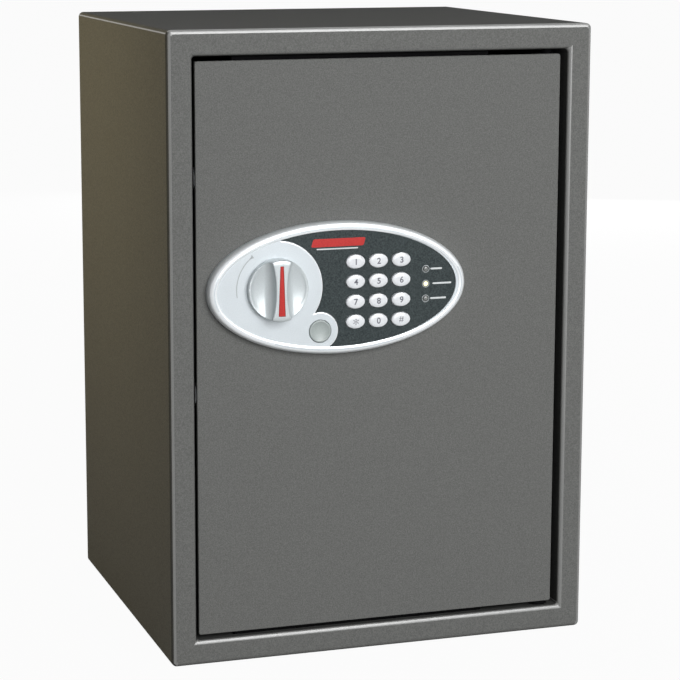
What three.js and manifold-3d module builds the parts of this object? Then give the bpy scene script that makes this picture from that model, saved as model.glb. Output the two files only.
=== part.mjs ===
import * as THREE from 'three';
import { mergeVertices } from 'three/addons/utils/BufferGeometryUtils.js';
import Module from 'manifold-3d';

const wasm = await Module();
wasm.setup();

// A home safe: a folded steel case, a recessed door on two hidden hinge pins, a knob that
// throws two bolts, a keypad and solenoid that free the knob, and a key lock for emergencies.
// Millimetres. X is to the right, Y from the door to the rear, Z up, and the origin is the
// middle of the underside. It is drawn closed, with the bolts withdrawn.

// Space between pieces that touch, and play round a piece that turns or slides
const gap = 0.3;
const play = 0.4;

// How far a cut, or a form joined to another, runs past the face that it meets
const past = 1;

// Case
const caseWidth = 350;
const caseHeight = 500;
const caseDepth = 310;
const caseSheet = 2;
const caseCorner = 3.5;
const frontFoldInside = 2.5;
const foldInside = 1;
const frameFace = 20;
const jambDepth = 36;
const rearRim = 15;
const anchorHoleRadius = 6;
const anchorSpacing = 220;
const baseAnchorFromRear = 115;
const rearAnchorHeight = 400;

// Shelf and floor mat
const shelfHeight = 260;
const shelfSheet = 1.5;
const shelfSideGap = 3.5;
const shelfSetback = 50;
const shelfRearGap = 8;
const shelfFrontFold = 12;
const shelfRearFold = 10;
const railSheet = 1.5;
const railLeg = 12;
const railLength = 235;
const railFromFront = 55;
const matThickness = 3;
const matSideGap = 5;
const matFromFront = 38;
const matRearGap = 1;

// Door
const doorSheet = 4;
const doorRecess = 3;
const latchGap = 2.5;
const hingeGap = 6;
const topGap = 4;
const bottomGap = 4;
const doorCorner = 1.5;
const stopSheet = 1.5;
const stopOverlap = 7.5;
const stopFoot = 22;
const stopFromLatchEdge = 30;
const stopFromHingeEdge = 60;

// Hinges
const hingePinRadius = 4;
const hingeFromEdge = 8;
const hingeBehindFace = 10;
const hingeBlockHeight = 46;
const hingeBlockBehindAxis = 8;
const hingePinInBlock = 40;
const hingePlateSheet = 4;
const hingePlateWidth = 24;
const hingePlateDepth = 20;
const hingePinBeyondPlate = 3.5;
const hingePinLead = 1;
const washerRadius = 8;

// Inner pan of the door
const panSheet = 1.2;
const panDepth = 34;
const panFromLatchEdge = 10;
const panFromHingeEdge = 18;
const panFromEnds = 10;
const panCorner = 4;
const postRadius = 4;
const postFromSide = 18;
const panScrewRadius = 1.8;
const panScrewHeadRadius = 3.5;
const panScrewHead = 2.2;
const panScrewLength = 12;

// Boltwork
const knobFromLatchEdge = 62;
const lockHeight = 300;
const boltRadius = 9;
const boltSpacing = 170;
const boltBehindDoor = 14;
const boltLength = 29;
const boltSetback = 0.5;
const boltLead = 1.5;
const guideSheet = 3;
const guideFoot = 6;
const guideMargin = 22;
const strikeSheet = 3;
const strikeWidth = 26;
const carriageSheet = 3;
const carriageBarDepth = 18;
const webHeight = 60;
const webBeyondSpindle = 18.5;
const lugWidth = 4;
const lugHeight = 8;
const lugBeyondSpindle = 10.5;
const crankRadius = 12.7;
const crankPinRadius = 3;
const crankPinBeyondWeb = 0.5;
const slotPlay = 0.6;
const camRadius = 18;
const camSheet = 4;
const camBehindDoor = 7;
const spindleRadius = 5;
const spindleSquare = 7;
const spindleClipRadius = 9;
const spindleClipSheet = 1.2;
const spindleGroove = 1;

// Solenoid, beside the lug on the carriage
const coilWidth = 20;
const coilDepth = 18;
const coilHeight = 30;
const coilBelowLug = 17;
const coilFootHeight = 18;
const plungerRadius = 2.5;
const plungerHeadRadius = 5;
const plungerHead = 1.5;
const plungerInCoil = 18;
const plungerTip = 2.5;
const plungerLead = 0.5;
const springHeight = 9;
const springWire = 0.4;
const springTurns = 3;

// Fascia on the door, with the keypad
const fasciaFromLatchEdge = 113.3;
const fasciaBelowLock = 2.3;
const fasciaHalfWidth = 106;
const fasciaHalfHeight = 52.5;
const fasciaWall = 2.2;
const fasciaInsideCorner = 1.5;
const rimWidth = 6.7;
const rimHeight = 10.3;
const plateauHeight = 9.3;
const pocketDepth = 2;
const pocketFloor = 1.5;
const panelSheet = 1;
const discRadius = 37.5;
const keyColumnFirst = 12.9;
const keyColumnPitch = 18.95;
const keyRowTop = 20.6;
const keyRowPitch = 15.87;
const keyHalfWidth = 7.75;
const keyHalfHeight = 5.5;
const keyFlange = 1;
const keyFlangeSheet = 1;
const keyProud = 2.6;
const keyTravel = 1.2;
const keyCrown = 1.1;
const keyRound = 0.7;
const keyTopInset = 2.6;
const boardSheet = 1.6;
const boardBeyondKeys = 4;
const boardPostRadius = 1.4;
const lightFromCentre = 71.9;
const lightPitch = 11.85;
const lightRadius = 2;
const lightProud = 1;
const lightDome = 0.9;
const lightBar = 1;
const lightBarMargin = 0.5;
const fasciaBossRadius = 3.5;
const fasciaBossFromCentre = 91.5;
const fasciaScrewRadius = 1.5;
const cableRadius = 2.4;
const cableHoleRadius = 6;
const cableBend = 3;
const cableRise = 8;

// Knob
const knobRadius = 24.2;
const knobEdge = 5;
const knobGripHeight = 13.5;
const knobGripEnd = 15;
const knobGripWaist = 9;
const knobGripSetback = 0.7;
const knobRound = 1.4;
const knobDish = 1.6;
const stripeTop = 3;
const stripeBottom = 6;
const stripeLength = 39;
const stripeSheet = 1.2;

// Emergency key lock
const overrideRight = 35.2;
const overrideDown = 35.4;
const lobeRadius = 15;
const overrideRadius = 9;
const overrideBehindDoor = 22;
const plugRadius = 6;
const plugTailRadius = 2.5;
const keywayWidth = 1.6;
const keywayBelow = 4;
const keywayAbove = 3;
const keywayFromRear = 6;
const lockNutRadius = 12;
const lockNutHeight = 3;
const overrideArm = 20;
const overrideArmWidth = 10;
const overrideArmSheet = 2;
const capRadius = 8.9;
const capSheet = 3.2;
const capCrown = 0.9;
const capRound = 0.8;

// Battery box, circuit board and reset button
const batteryRadius = 7.25;
const batteryLength = 50.5;
const batteryCount = 4;
const batteryNubRadius = 2.7;
const batteryNub = 1.5;
const batteryWrapInset = 2;
const batteryWall = 1.5;
const batteryBoxFromPanEdge = 66;
const batteryBoxBelowLock = 150;
const batteryCoverLap = 3;
const batteryCoverSheet = 1.8;
const coverRib = 1;
const coverRibFromSide = 8;
const circuitWidth = 90;
const circuitHeight = 74;
const circuitFromPan = 5.2;
const circuitLeftOfCable = 14.5;
const circuitBelowFascia = 35.7;
const circuitPostRadius = 2.5;
const circuitPostFromEdge = 4;
const chipSize = 18;
const chipHeight = 3;
const chipFromLeft = 20;
const chipFromBottom = 14;
const buzzerRadius = 6;
const buzzerHeight = 6;
const buzzerFromLeft = 26;
const buzzerFromBottom = 52;
const resetRadius = 3.7;
const resetStemRadius = 2.2;
const resetProud = 3.1;
const resetFlange = 1.4;
const resetRound = 0.8;
const resetTravel = 1.5;
const resetFromLeft = 30;
const resetFromTop = 14;

// Places worked out from those sizes
const frontY = -caseDepth / 2;
const rearY = caseDepth / 2;
const innerSide = caseWidth / 2 - caseSheet;
const openingLeft = -caseWidth / 2 + frameFace;
const openingRight = caseWidth / 2 - frameFace;
const openingTop = caseHeight - frameFace;
const openingBottom = frameFace;
const jambBackY = frontY + jambDepth;
const doorLeft = openingLeft + latchGap;
const doorRight = openingRight - hingeGap;
const doorTop = openingTop - topGap;
const doorBottom = openingBottom + bottomGap;
const doorFrontY = frontY + doorRecess;
const doorBackY = doorFrontY + doorSheet;
const hingeX = doorRight - hingeFromEdge;
const hingeY = doorFrontY + hingeBehindFace;
const panLeft = doorLeft + panFromLatchEdge;
const panRight = doorRight - panFromHingeEdge;
const panTop = doorTop - panFromEnds;
const panBottom = doorBottom + panFromEnds;
const knobX = doorLeft + knobFromLatchEdge;
const boltY = doorBackY + boltBehindDoor;
const boltHoleRadius = boltRadius + play;
const boltTravel = crankRadius * Math.SQRT2;
const fasciaX = doorLeft + fasciaFromLatchEdge;
const fasciaZ = lockHeight - fasciaBelowLock;
const batteryBoxBottom = lockHeight - batteryBoxBelowLock;
const circuitBottom = fasciaZ - circuitBelowFascia;

// Materials, each with the colour and gloss of its piece
function finish(color, roughness, metalness) {
  return new THREE.MeshStandardMaterial({ color, roughness, metalness });
}

const greyPaint = () => finish(0x6f706d, 0.5, 0.35);
const zincSteel = () => finish(0xb4b8bc, 0.38, 0.85);
const darkSteel = () => finish(0x54585c, 0.45, 0.8);
const silverPlastic = () => finish(0xd8e0e4, 0.32, 0.2);
const whiteKey = () => finish(0xeef0f4, 0.3, 0);

// Turn every face outwards
function outward(geometry) {
  const points = geometry.getAttribute('position');
  const corners = geometry.index ? [...geometry.index.array] : [...Array(points.count).keys()];
  const a = new THREE.Vector3();
  const b = new THREE.Vector3();
  const c = new THREE.Vector3();
  let volume = 0;
  for (let i = 0; i < corners.length; i += 3) {
    a.fromBufferAttribute(points, corners[i]);
    b.fromBufferAttribute(points, corners[i + 1]);
    c.fromBufferAttribute(points, corners[i + 2]);
    volume += a.dot(b.cross(c));
  }
  if (volume < 0) {
    for (let i = 0; i < corners.length; i += 3) {
      [corners[i + 1], corners[i + 2]] = [corners[i + 2], corners[i + 1]];
    }
  }
  geometry.setIndex(corners);
  return geometry;
}

function toSolid(shape) {
  if (!shape.isBufferGeometry) return shape;
  const bare = new THREE.BufferGeometry();
  bare.setAttribute('position', shape.getAttribute('position').clone());
  if (shape.index) bare.setIndex(shape.index.clone());
  const welded = mergeVertices(outward(bare));
  const corners = welded.index.array;
  const faces = [];
  for (let i = 0; i < corners.length; i += 3) {
    const [a, b, c] = [corners[i], corners[i + 1], corners[i + 2]];
    if (a !== b && b !== c && c !== a) faces.push(a, b, c);
  }
  return new wasm.Manifold(new wasm.Mesh({
    numProp: 3,
    vertProperties: new Float32Array(welded.getAttribute('position').array),
    triVerts: new Uint32Array(faces),
  }));
}

function toGeometry(shape) {
  const mesh = toSolid(shape).getMesh();
  const geometry = new THREE.BufferGeometry();
  geometry.setAttribute('position', new THREE.BufferAttribute(new Float32Array(mesh.vertProperties), 3));
  geometry.setIndex([...mesh.triVerts]);
  geometry.computeVertexNormals();
  return geometry;
}

function join(first, ...others) {
  return others.reduce((whole, other) => whole.add(toSolid(other)), toSolid(first));
}

function cut(first, ...tools) {
  return tools.reduce((whole, tool) => whole.subtract(toSolid(tool)), toSolid(first));
}

function upsideDown(shape) {
  return outward(toGeometry(shape).scale(1, 1, -1));
}

// Forms that the pieces are made from
function block(x0, x1, y0, y1, z0, z1) {
  return new THREE.BoxGeometry(x1 - x0, y1 - y0, z1 - z0)
    .translate((x0 + x1) / 2, (y0 + y1) / 2, (z0 + z1) / 2);
}

function alongX(geometry) {
  return geometry.rotateZ(-Math.PI / 2);
}

function alongZ(geometry) {
  return geometry.rotateX(Math.PI / 2);
}

// A round bar along Y, centred on (x, z)
function rod(radius, y0, y1, x = 0, z = 0, sides = 20) {
  return new THREE.CylinderGeometry(radius, radius, y1 - y0, sides).translate(x, (y0 + y1) / 2, z);
}

function rodX(radius, x0, x1, y, z, sides = 20) {
  return alongX(new THREE.CylinderGeometry(radius, radius, x1 - x0, sides))
    .translate((x0 + x1) / 2, y, z);
}

function rodZ(radius, z0, z1, x, y, sides = 20) {
  return alongZ(new THREE.CylinderGeometry(radius, radius, z1 - z0, sides))
    .translate(x, y, (z0 + z1) / 2);
}

// A turned piece: pairs of radius and distance along Y
function turned(profile, sides = 20) {
  return new THREE.LatheGeometry(profile.map(([r, y]) => new THREE.Vector2(r, y)), sides);
}

// An outline in X and Z, carried along Y from y0 to y1
function plateXZ(shape, y0, y1, curveSegments = 24) {
  return new THREE.ExtrudeGeometry(shape, { depth: y1 - y0, bevelEnabled: false, curveSegments })
    .rotateX(Math.PI / 2)
    .translate(0, y1, 0);
}

// An outline in Y and Z, carried along X from x0 to x1
function plateYZ(points, x0, x1) {
  const shape = new THREE.Shape(points.map(([y, z]) => new THREE.Vector2(y, z)));
  const turn = new THREE.Matrix4().makeBasis(
    new THREE.Vector3(0, 1, 0),
    new THREE.Vector3(0, 0, 1),
    new THREE.Vector3(1, 0, 0),
  );
  return new THREE.ExtrudeGeometry(shape, { depth: x1 - x0, bevelEnabled: false })
    .applyMatrix4(turn)
    .translate(x0, 0, 0);
}

function ellipse(x, z, halfWidth, halfHeight) {
  return new THREE.Shape().absellipse(x, z, halfWidth, halfHeight, 0, Math.PI * 2);
}

function roundedRectangle(left, right, bottom, top, radius) {
  const shape = new THREE.Shape();
  shape.absarc(right - radius, bottom + radius, radius, -Math.PI / 2, 0);
  shape.absarc(right - radius, top - radius, radius, 0, Math.PI / 2);
  shape.absarc(left + radius, top - radius, radius, Math.PI / 2, Math.PI);
  shape.absarc(left + radius, bottom + radius, radius, Math.PI, Math.PI * 1.5);
  return shape;
}

// A skin over rings of points. A loop closes on its first ring, otherwise both ends are capped.
function loft(rings, isLoop) {
  const count = rings[0].length;
  const corners = [];
  const rows = isLoop ? rings.length : rings.length - 1;
  for (let row = 0; row < rows; row++) {
    const here = row * count;
    const next = ((row + 1) % rings.length) * count;
    for (let i = 0; i < count; i++) {
      const j = (i + 1) % count;
      corners.push(here + i, here + j, next + j, here + i, next + j, next + i);
    }
  }
  if (!isLoop) {
    const last = rows * count;
    for (let i = 1; i < count - 1; i++) {
      corners.push(0, i + 1, i, last, last + i, last + i + 1);
    }
  }
  const geometry = new THREE.BufferGeometry();
  geometry.setAttribute('position', new THREE.Float32BufferAttribute(rings.flat(2), 3));
  geometry.setIndex(corners);
  return outward(geometry);
}

function rectangleRing(halfWidth, halfHeight, radius, y, x = 0, z = 0) {
  const steps = 2;
  const points = [];
  for (let corner = 0; corner < 4; corner++) {
    const sideX = corner === 0 || corner === 3 ? 1 : -1;
    const sideZ = corner < 2 ? 1 : -1;
    for (let step = 0; step <= steps; step++) {
      const angle = (corner + step / steps) * Math.PI / 2;
      points.push([
        x + sideX * (halfWidth - radius) + radius * Math.cos(angle),
        y,
        z + sideZ * (halfHeight - radius) + radius * Math.sin(angle),
      ]);
    }
  }
  return points;
}

function ellipseRing(halfWidth, halfHeight, y, sides) {
  return Array.from({ length: sides }, (_, i) => {
    const angle = (i / sides) * Math.PI * 2;
    return [halfWidth * Math.cos(angle), y, halfHeight * Math.sin(angle)];
  });
}

// Points of a fold, as pairs of inset and y, round a centre
function fold(inset, y, radius, from, to, steps = 2) {
  return Array.from({ length: steps + 1 }, (_, i) => {
    const angle = from + (to - from) * (i / steps);
    return [inset + radius * Math.cos(angle), y + radius * Math.sin(angle)];
  });
}

// A folded tray with its flat face at faceY and its rim running forward to rimY
function tray(halfWidth, halfHeight, corner, faceY, rimY, sheet) {
  const outside = foldInside + sheet;
  const quarter = Math.PI / 2;
  const path = [
    ...fold(outside, faceY - outside, foldInside, quarter, 2 * quarter),
    [sheet, rimY],
    [0, rimY],
    ...fold(outside, faceY - outside, outside, 2 * quarter, quarter),
  ];
  return loft(path.map(([inset, y]) => rectangleRing(
    halfWidth - inset,
    halfHeight - inset,
    Math.max(corner - inset, foldInside),
    y,
  )), false);
}

function piece(group, name, shape, material, x = 0, y = 0, z = 0) {
  const mesh = new THREE.Mesh(toGeometry(shape), material);
  mesh.name = name;
  mesh.position.set(x, y, z);
  group.add(mesh);
}

function subgroup(parent, x, y, z) {
  const group = new THREE.Group();
  group.position.set(x, y, z);
  parent.add(group);
  return group;
}

// Case: one sheet folded round the opening, with a jamb turned in behind the front
function caseShell() {
  const halfTurn = Math.PI;
  const jambInside = foldInside;
  const jambOutside = jambInside + caseSheet;
  const frontOutside = frontFoldInside + caseSheet;
  const outline = [
    [0, rearY],
    ...fold(frontOutside, frontY + frontOutside, frontOutside, halfTurn, 1.5 * halfTurn, 3),
    ...fold(frameFace - jambOutside, frontY + jambOutside, jambOutside, 1.5 * halfTurn, 2 * halfTurn),
    [frameFace, jambBackY],
    [frameFace - caseSheet, jambBackY],
    ...fold(frameFace - jambOutside, frontY + jambOutside, jambInside, 2 * halfTurn, 1.5 * halfTurn),
    ...fold(frontOutside, frontY + frontOutside, frontFoldInside, 1.5 * halfTurn, halfTurn, 3),
    [caseSheet, rearY],
  ];
  const shell = loft(outline.map(([inset, y]) => rectangleRing(
    caseWidth / 2 - inset,
    caseHeight / 2 - inset,
    Math.max(caseCorner - inset, foldInside),
    y,
    0,
    caseHeight / 2,
  )), true);
  const through = caseSheet * 2;
  const pivotRadius = hingePinRadius + play;
  return cut(
    shell,
    ...boltHeights().map((z) => rodX(
      boltHoleRadius,
      openingLeft - through,
      openingLeft + through,
      boltY,
      z,
    )),
    rodZ(pivotRadius, openingTop - through, openingTop + through, hingeX, hingeY),
    rodZ(pivotRadius, openingBottom - through, openingBottom + through, hingeX, hingeY),
    ...anchorXs().map((x) => rodZ(anchorHoleRadius, -through, through, x, rearY - baseAnchorFromRear)),
  );
}

function boltHeights() {
  return [lockHeight + boltSpacing / 2, lockHeight - boltSpacing / 2];
}

function anchorXs() {
  return [-anchorSpacing / 2, anchorSpacing / 2];
}

function rearPanel() {
  const panel = tray(
    innerSide - gap,
    caseHeight / 2 - caseSheet - gap,
    caseCorner,
    rearY,
    rearY - rearRim,
    caseSheet,
  );
  return cut(panel, ...anchorXs().map((x) => rod(
    anchorHoleRadius,
    rearY - caseSheet * 2,
    rearY + caseSheet,
    x,
    rearAnchorHeight - caseHeight / 2,
  )));
}

// Plate that backs a jamb where the hinge pin runs through it
function hingePlate() {
  const plate = block(
    -hingePlateWidth / 2,
    hingePlateWidth / 2,
    -hingePlateDepth / 2,
    hingePlateDepth / 2,
    0,
    hingePlateSheet,
  );
  return cut(plate, rodZ(hingePinRadius + play, -past, hingePlateSheet + past, 0, 0));
}

function strikePlate() {
  const half = boltSpacing / 2 + guideMargin;
  const plate = block(-strikeSheet, 0, -strikeWidth / 2, strikeWidth / 2, -half, half);
  return cut(plate, ...[1, -1].map((side) => rodX(
    boltHoleRadius,
    -strikeSheet * 2,
    strikeSheet,
    0,
    side * boltSpacing / 2,
  )));
}

// Folded strip on a jamb, which the door closes against. Z is measured out from the jamb.
function doorStop(jambGap) {
  const front = doorBackY + gap;
  const profile = [
    [front, -jambGap - stopOverlap],
    [front + stopSheet, -jambGap - stopOverlap],
    [front + stopSheet, -gap - stopSheet],
    [front + stopFoot, -gap - stopSheet],
    [front + stopFoot, -gap],
    [front, -gap],
  ];
  return plateYZ(profile, doorLeft + stopFromLatchEdge, doorRight - stopFromHingeEdge);
}

function shelfRail(side) {
  const wall = side * (innerSide - gap);
  const inner = wall - side * railLeg;
  const web = wall - side * railSheet;
  const [y0, y1] = [frontY + railFromFront, frontY + railFromFront + railLength];
  const top = shelfHeight - gap;
  const range = (a, b) => [Math.min(a, b), Math.max(a, b)];
  return join(
    block(...range(wall, web), y0, y1, top - railLeg, top),
    block(...range(wall, inner), y0, y1, top - railSheet, top),
  );
}

function shelf() {
  const front = frontY + shelfSetback;
  const rear = rearY - shelfRearGap;
  const top = shelfHeight + shelfSheet;
  const half = innerSide - shelfSideGap;
  const profile = [
    [front, shelfHeight - shelfFrontFold],
    [front + shelfSheet, shelfHeight - shelfFrontFold],
    [front + shelfSheet, shelfHeight],
    [rear, shelfHeight],
    [rear, top + shelfRearFold],
    [rear - shelfSheet, top + shelfRearFold],
    [rear - shelfSheet, top],
    [front, top],
  ];
  const sheet = plateYZ(profile, -half, half);
  const railReach = railLeg + play - shelfSideGap + gap;
  const notch = (x0, x1) => block(
    x0,
    x1,
    front - shelfSheet,
    front + shelfSheet * 2,
    shelfHeight - shelfFrontFold - shelfSheet,
    shelfHeight,
  );
  return cut(sheet, notch(-half - past, -half + railReach), notch(half - railReach, half + past));
}

function floorMat() {
  const bottom = caseSheet + gap;
  const half = innerSide - matSideGap;
  const mat = block(
    -half,
    half,
    frontY + matFromFront,
    rearY - rearRim - matRearGap,
    bottom,
    bottom + matThickness,
  );
  return cut(mat, ...anchorXs().map((x) => rodZ(
    anchorHoleRadius,
    0,
    bottom + matThickness * 2,
    x,
    rearY - baseAnchorFromRear,
  )));
}

function buildCase(safe) {
  piece(safe, 'body_shell', caseShell(), greyPaint());
  piece(safe, 'rear_panel', rearPanel(), greyPaint(), 0, 0, caseHeight / 2);
  const plateAboveJamb = openingTop + caseSheet + gap;
  const plateBelowJamb = openingBottom - caseSheet - gap - hingePlateSheet;
  piece(safe, 'upper_hinge_plate', hingePlate(), darkSteel(), hingeX, hingeY, plateAboveJamb);
  piece(safe, 'lower_hinge_plate', hingePlate(), darkSteel(), hingeX, hingeY, plateBelowJamb);
  const strikeX = openingLeft - caseSheet - gap;
  piece(safe, 'strike_plate', strikePlate(), darkSteel(), strikeX, boltY, lockHeight);
  piece(safe, 'upper_door_stop', doorStop(topGap), darkSteel(), 0, 0, openingTop);
  const lowerStop = upsideDown(doorStop(bottomGap));
  piece(safe, 'lower_door_stop', lowerStop, darkSteel(), 0, 0, openingBottom);
  piece(safe, 'left_shelf_rail', shelfRail(-1), greyPaint());
  piece(safe, 'right_shelf_rail', shelfRail(1), greyPaint());
  piece(safe, 'shelf', shelf(), greyPaint());
  piece(safe, 'floor_mat', floorMat(), finish(0x2c2d2f, 0.95, 0));
  const washerHeight = bottomGap - 2 * gap;
  const washer = cut(rodZ(washerRadius, 0, washerHeight, 0, 0), rodZ(
    hingePinRadius + play,
    -past,
    washerHeight + past,
    0,
    0,
  ));
  piece(safe, 'hinge_washer', washer, darkSteel(), hingeX, hingeY, openingBottom + gap);
}

// Door plate, in a group whose y = 0 is the inside face of the plate
function doorPlate() {
  const outline = roundedRectangle(doorLeft, doorRight, doorBottom, doorTop, doorCorner);
  outline.holes.push(
    ellipse(knobX, lockHeight, spindleRadius + play, spindleRadius + play),
    ellipse(knobX + overrideRight, lockHeight - overrideDown, overrideRadius + play, overrideRadius + play),
    ellipse(cableX(), fasciaZ, cableHoleRadius, cableHoleRadius),
    ...fasciaBossXs().map((x) => ellipse(
      fasciaX + x,
      fasciaZ,
      fasciaScrewRadius + play,
      fasciaScrewRadius + play,
    )),
  );
  const plate = plateXZ(outline, -doorSheet, 0, 12);
  const postLength = panDepth - panSheet - gap;
  const posts = postPlaces().map(([x, z]) => cut(
    rod(postRadius, -doorSheet / 2, postLength, x, z, 12),
    rod(panScrewRadius + play, postLength - panScrewLength, postLength + past, x, z, 12),
  ));
  return join(plate, ...posts);
}

function cableX() {
  return fasciaX + keyColumnFirst + 3 * keyColumnPitch;
}

function fasciaBossXs() {
  return [-fasciaBossFromCentre, fasciaBossFromCentre];
}

function postPlaces() {
  const xs = [panLeft + postFromSide, panRight - postFromSide];
  const zs = [panBottom + postFromSide, panTop - postFromSide];
  return xs.flatMap((x) => zs.map((z) => [x, z]));
}

function innerPan() {
  const halfWidth = (panRight - panLeft) / 2;
  const halfHeight = (panTop - panBottom) / 2;
  const middleX = (panLeft + panRight) / 2;
  const middleZ = (panTop + panBottom) / 2;
  const pan = tray(halfWidth, halfHeight, panCorner, panDepth, gap, panSheet)
    .translate(middleX, 0, middleZ);
  const [y0, y1] = [panDepth - panSheet * 2, panDepth + panSheet];
  const window = batteryBoxPlace();
  const reset = resetPlace();
  return cut(
    pan,
    ...boltHeights().map((z) => rodX(
      boltHoleRadius + play,
      panLeft - panSheet,
      panLeft + panSheet * 2,
      boltBehindDoor,
      z,
    )),
    ...postPlaces().map(([x, z]) => rod(panScrewRadius + play, y0, y1, x, z, 12)),
    block(window.left, window.right, y0, y1, window.bottom, window.top),
    rod(resetRadius + play, y0, y1, reset.x, reset.z),
  );
}

function panScrew() {
  const head = panDepth + gap;
  const tip = panDepth - panScrewLength + panSheet + gap;
  const screw = turned([
    [0, tip],
    [panScrewRadius, tip + panScrewRadius],
    [panScrewRadius, head],
    [panScrewHeadRadius, head],
    [panScrewHeadRadius, head + panScrewHead / 2],
    [panScrewHeadRadius / 2, head + panScrewHead],
    [0, head + panScrewHead],
  ], 12);
  const slotFloor = head + panScrewHead * 0.6;
  return cut(screw, block(
    -panScrewHeadRadius,
    panScrewHeadRadius,
    slotFloor,
    slotFloor + panScrewHead,
    -gap,
    gap,
  ));
}

function boltGuide() {
  const half = boltSpacing / 2 + guideMargin;
  const web = panLeft - gap;
  const depth = boltBehindDoor + boltRadius + play * 2;
  const angle = join(
    block(web - guideSheet, web, gap, depth + guideSheet, lockHeight - half, lockHeight + half),
    block(web - guideFoot, web, gap, gap + guideSheet / 2, lockHeight - half, lockHeight + half),
  );
  return cut(angle, ...boltHeights().map((z) => rodX(
    boltHoleRadius,
    web - guideFoot - past,
    web + past,
    boltBehindDoor,
    z,
  )));
}

// The hinge block holds a pin whose end stands beyond the door and runs in the jamb
function hingeBlock() {
  const front = doorSheet - hingeBehindFace + gap;
  return cut(
    block(
      -hingeFromEdge,
      hingeFromEdge,
      front,
      hingeBlockBehindAxis,
      0,
      hingeBlockHeight,
    ),
    rodZ(hingePinRadius + gap, hingeBlockHeight - hingePinInBlock - gap, hingeBlockHeight + past, 0, 0),
  );
}

function hingePin(gapAtJamb) {
  const outside = gapAtJamb + caseSheet + gap + hingePlateSheet + hingePinBeyondPlate;
  const [low, high] = [-hingePinInBlock, outside];
  return alongZ(turned([
    [0, low],
    [hingePinRadius, low],
    [hingePinRadius, high - hingePinLead],
    [hingePinRadius - hingePinLead, high],
    [0, high],
  ]));
}

function buildDoor(door) {
  piece(door, 'door_plate', doorPlate(), greyPaint());
  piece(door, 'inner_pan', innerPan(), greyPaint());
  postPlaces().forEach(([x, z], i) => {
    piece(door, `pan_screw_${i + 1}`, panScrew(), zincSteel(), x, 0, z);
  });
  piece(door, 'bolt_guide', boltGuide(), darkSteel());
  const axisY = hingeBehindFace - doorSheet;
  const upper = subgroup(door, hingeX, axisY, doorTop);
  piece(upper, 'upper_hinge_block', hingeBlock(), darkSteel(), 0, 0, -hingeBlockHeight);
  piece(upper, 'upper_hinge_pin', hingePin(topGap), darkSteel());
  const lower = subgroup(door, hingeX, axisY, doorBottom);
  piece(lower, 'lower_hinge_block', upsideDown(hingeBlock()), darkSteel(), 0, 0, hingeBlockHeight);
  piece(lower, 'lower_hinge_pin', upsideDown(hingePin(bottomGap)), darkSteel());
}

// Boltwork, in a group on the spindle's axis, with y = 0 on the inside face of the door
function bolt() {
  return alongX(turned([
    [0, 0],
    [boltRadius - boltLead, 0],
    [boltRadius, boltLead],
    [boltRadius, boltLength],
    [0, boltLength],
  ]));
}

function boltEnd() {
  return doorLeft + boltSetback + boltLength + gap - knobX;
}

function boltCarriage() {
  const left = boltEnd();
  const halfBar = boltSpacing / 2 + boltRadius;
  const bar = block(
    left,
    left + carriageSheet,
    boltBehindDoor - carriageBarDepth / 2,
    boltBehindDoor + carriageBarDepth / 2,
    -halfBar,
    halfBar,
  );
  const [y0, y1] = [boltBehindDoor, boltBehindDoor + carriageSheet];
  const web = block(left, webBeyondSpindle, y0, y1, -webHeight / 2, webHeight / 2);
  const lug = block(
    lugBeyondSpindle,
    lugBeyondSpindle + lugWidth,
    y0,
    y1,
    -webHeight / 2 - lugHeight,
    -webHeight / 2 + past,
  );
  const pinAt = crankRadius / Math.SQRT2;
  const slotHalf = crankPinRadius + slotPlay;
  const slot = block(
    pinAt - slotHalf,
    pinAt + slotHalf,
    y0 - past,
    y1 + past,
    pinAt - slotHalf,
    crankRadius + slotHalf,
  );
  return cut(join(bar, web, lug), slot);
}

function boltCam() {
  const pinAt = crankRadius / Math.SQRT2;
  const half = spindleSquare / 2 + gap;
  const disc = rod(camRadius, camBehindDoor, camBehindDoor + camSheet, 0, 0, 32);
  const pinEnd = boltBehindDoor + carriageSheet + crankPinBeyondWeb;
  const pin = rod(crankPinRadius, camBehindDoor + camSheet / 2, pinEnd, pinAt, pinAt, 16);
  const hole = block(-half, half, camBehindDoor - past, camBehindDoor + camSheet + past, -half, half);
  return join(cut(disc, hole), pin);
}

function spindle() {
  const outer = -doorSheet - plateauHeight - knobEdge;
  const shoulder = camBehindDoor - gap;
  const clip = clipAt();
  const groove = spindleRadius - spindleGroove;
  const round = turned([
    [0, outer],
    [spindleRadius, outer],
    [spindleRadius, clip - gap],
    [groove, clip - gap],
    [groove, clip + spindleClipSheet + gap],
    [spindleRadius, clip + spindleClipSheet + gap],
    [spindleRadius, shoulder],
    [0, shoulder],
  ]);
  const half = spindleSquare / 2;
  return join(round, block(
    -half,
    half,
    shoulder - past,
    camBehindDoor + camSheet + gap,
    -half,
    half,
  ));
}

function clipAt() {
  return gap * 2;
}

function spindleClip() {
  const ring = rod(spindleClipRadius, 0, spindleClipSheet);
  const inside = spindleRadius - spindleGroove + gap;
  return cut(
    ring,
    rod(inside, -past, spindleClipSheet + past),
    block(-inside, inside, -past, spindleClipSheet + past, -spindleClipRadius - past, 0),
  );
}

function plungerX() {
  return lugBeyondSpindle + lugWidth / 2 - boltTravel / 2;
}

function plungerY() {
  return boltBehindDoor + carriageSheet / 2;
}

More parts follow.
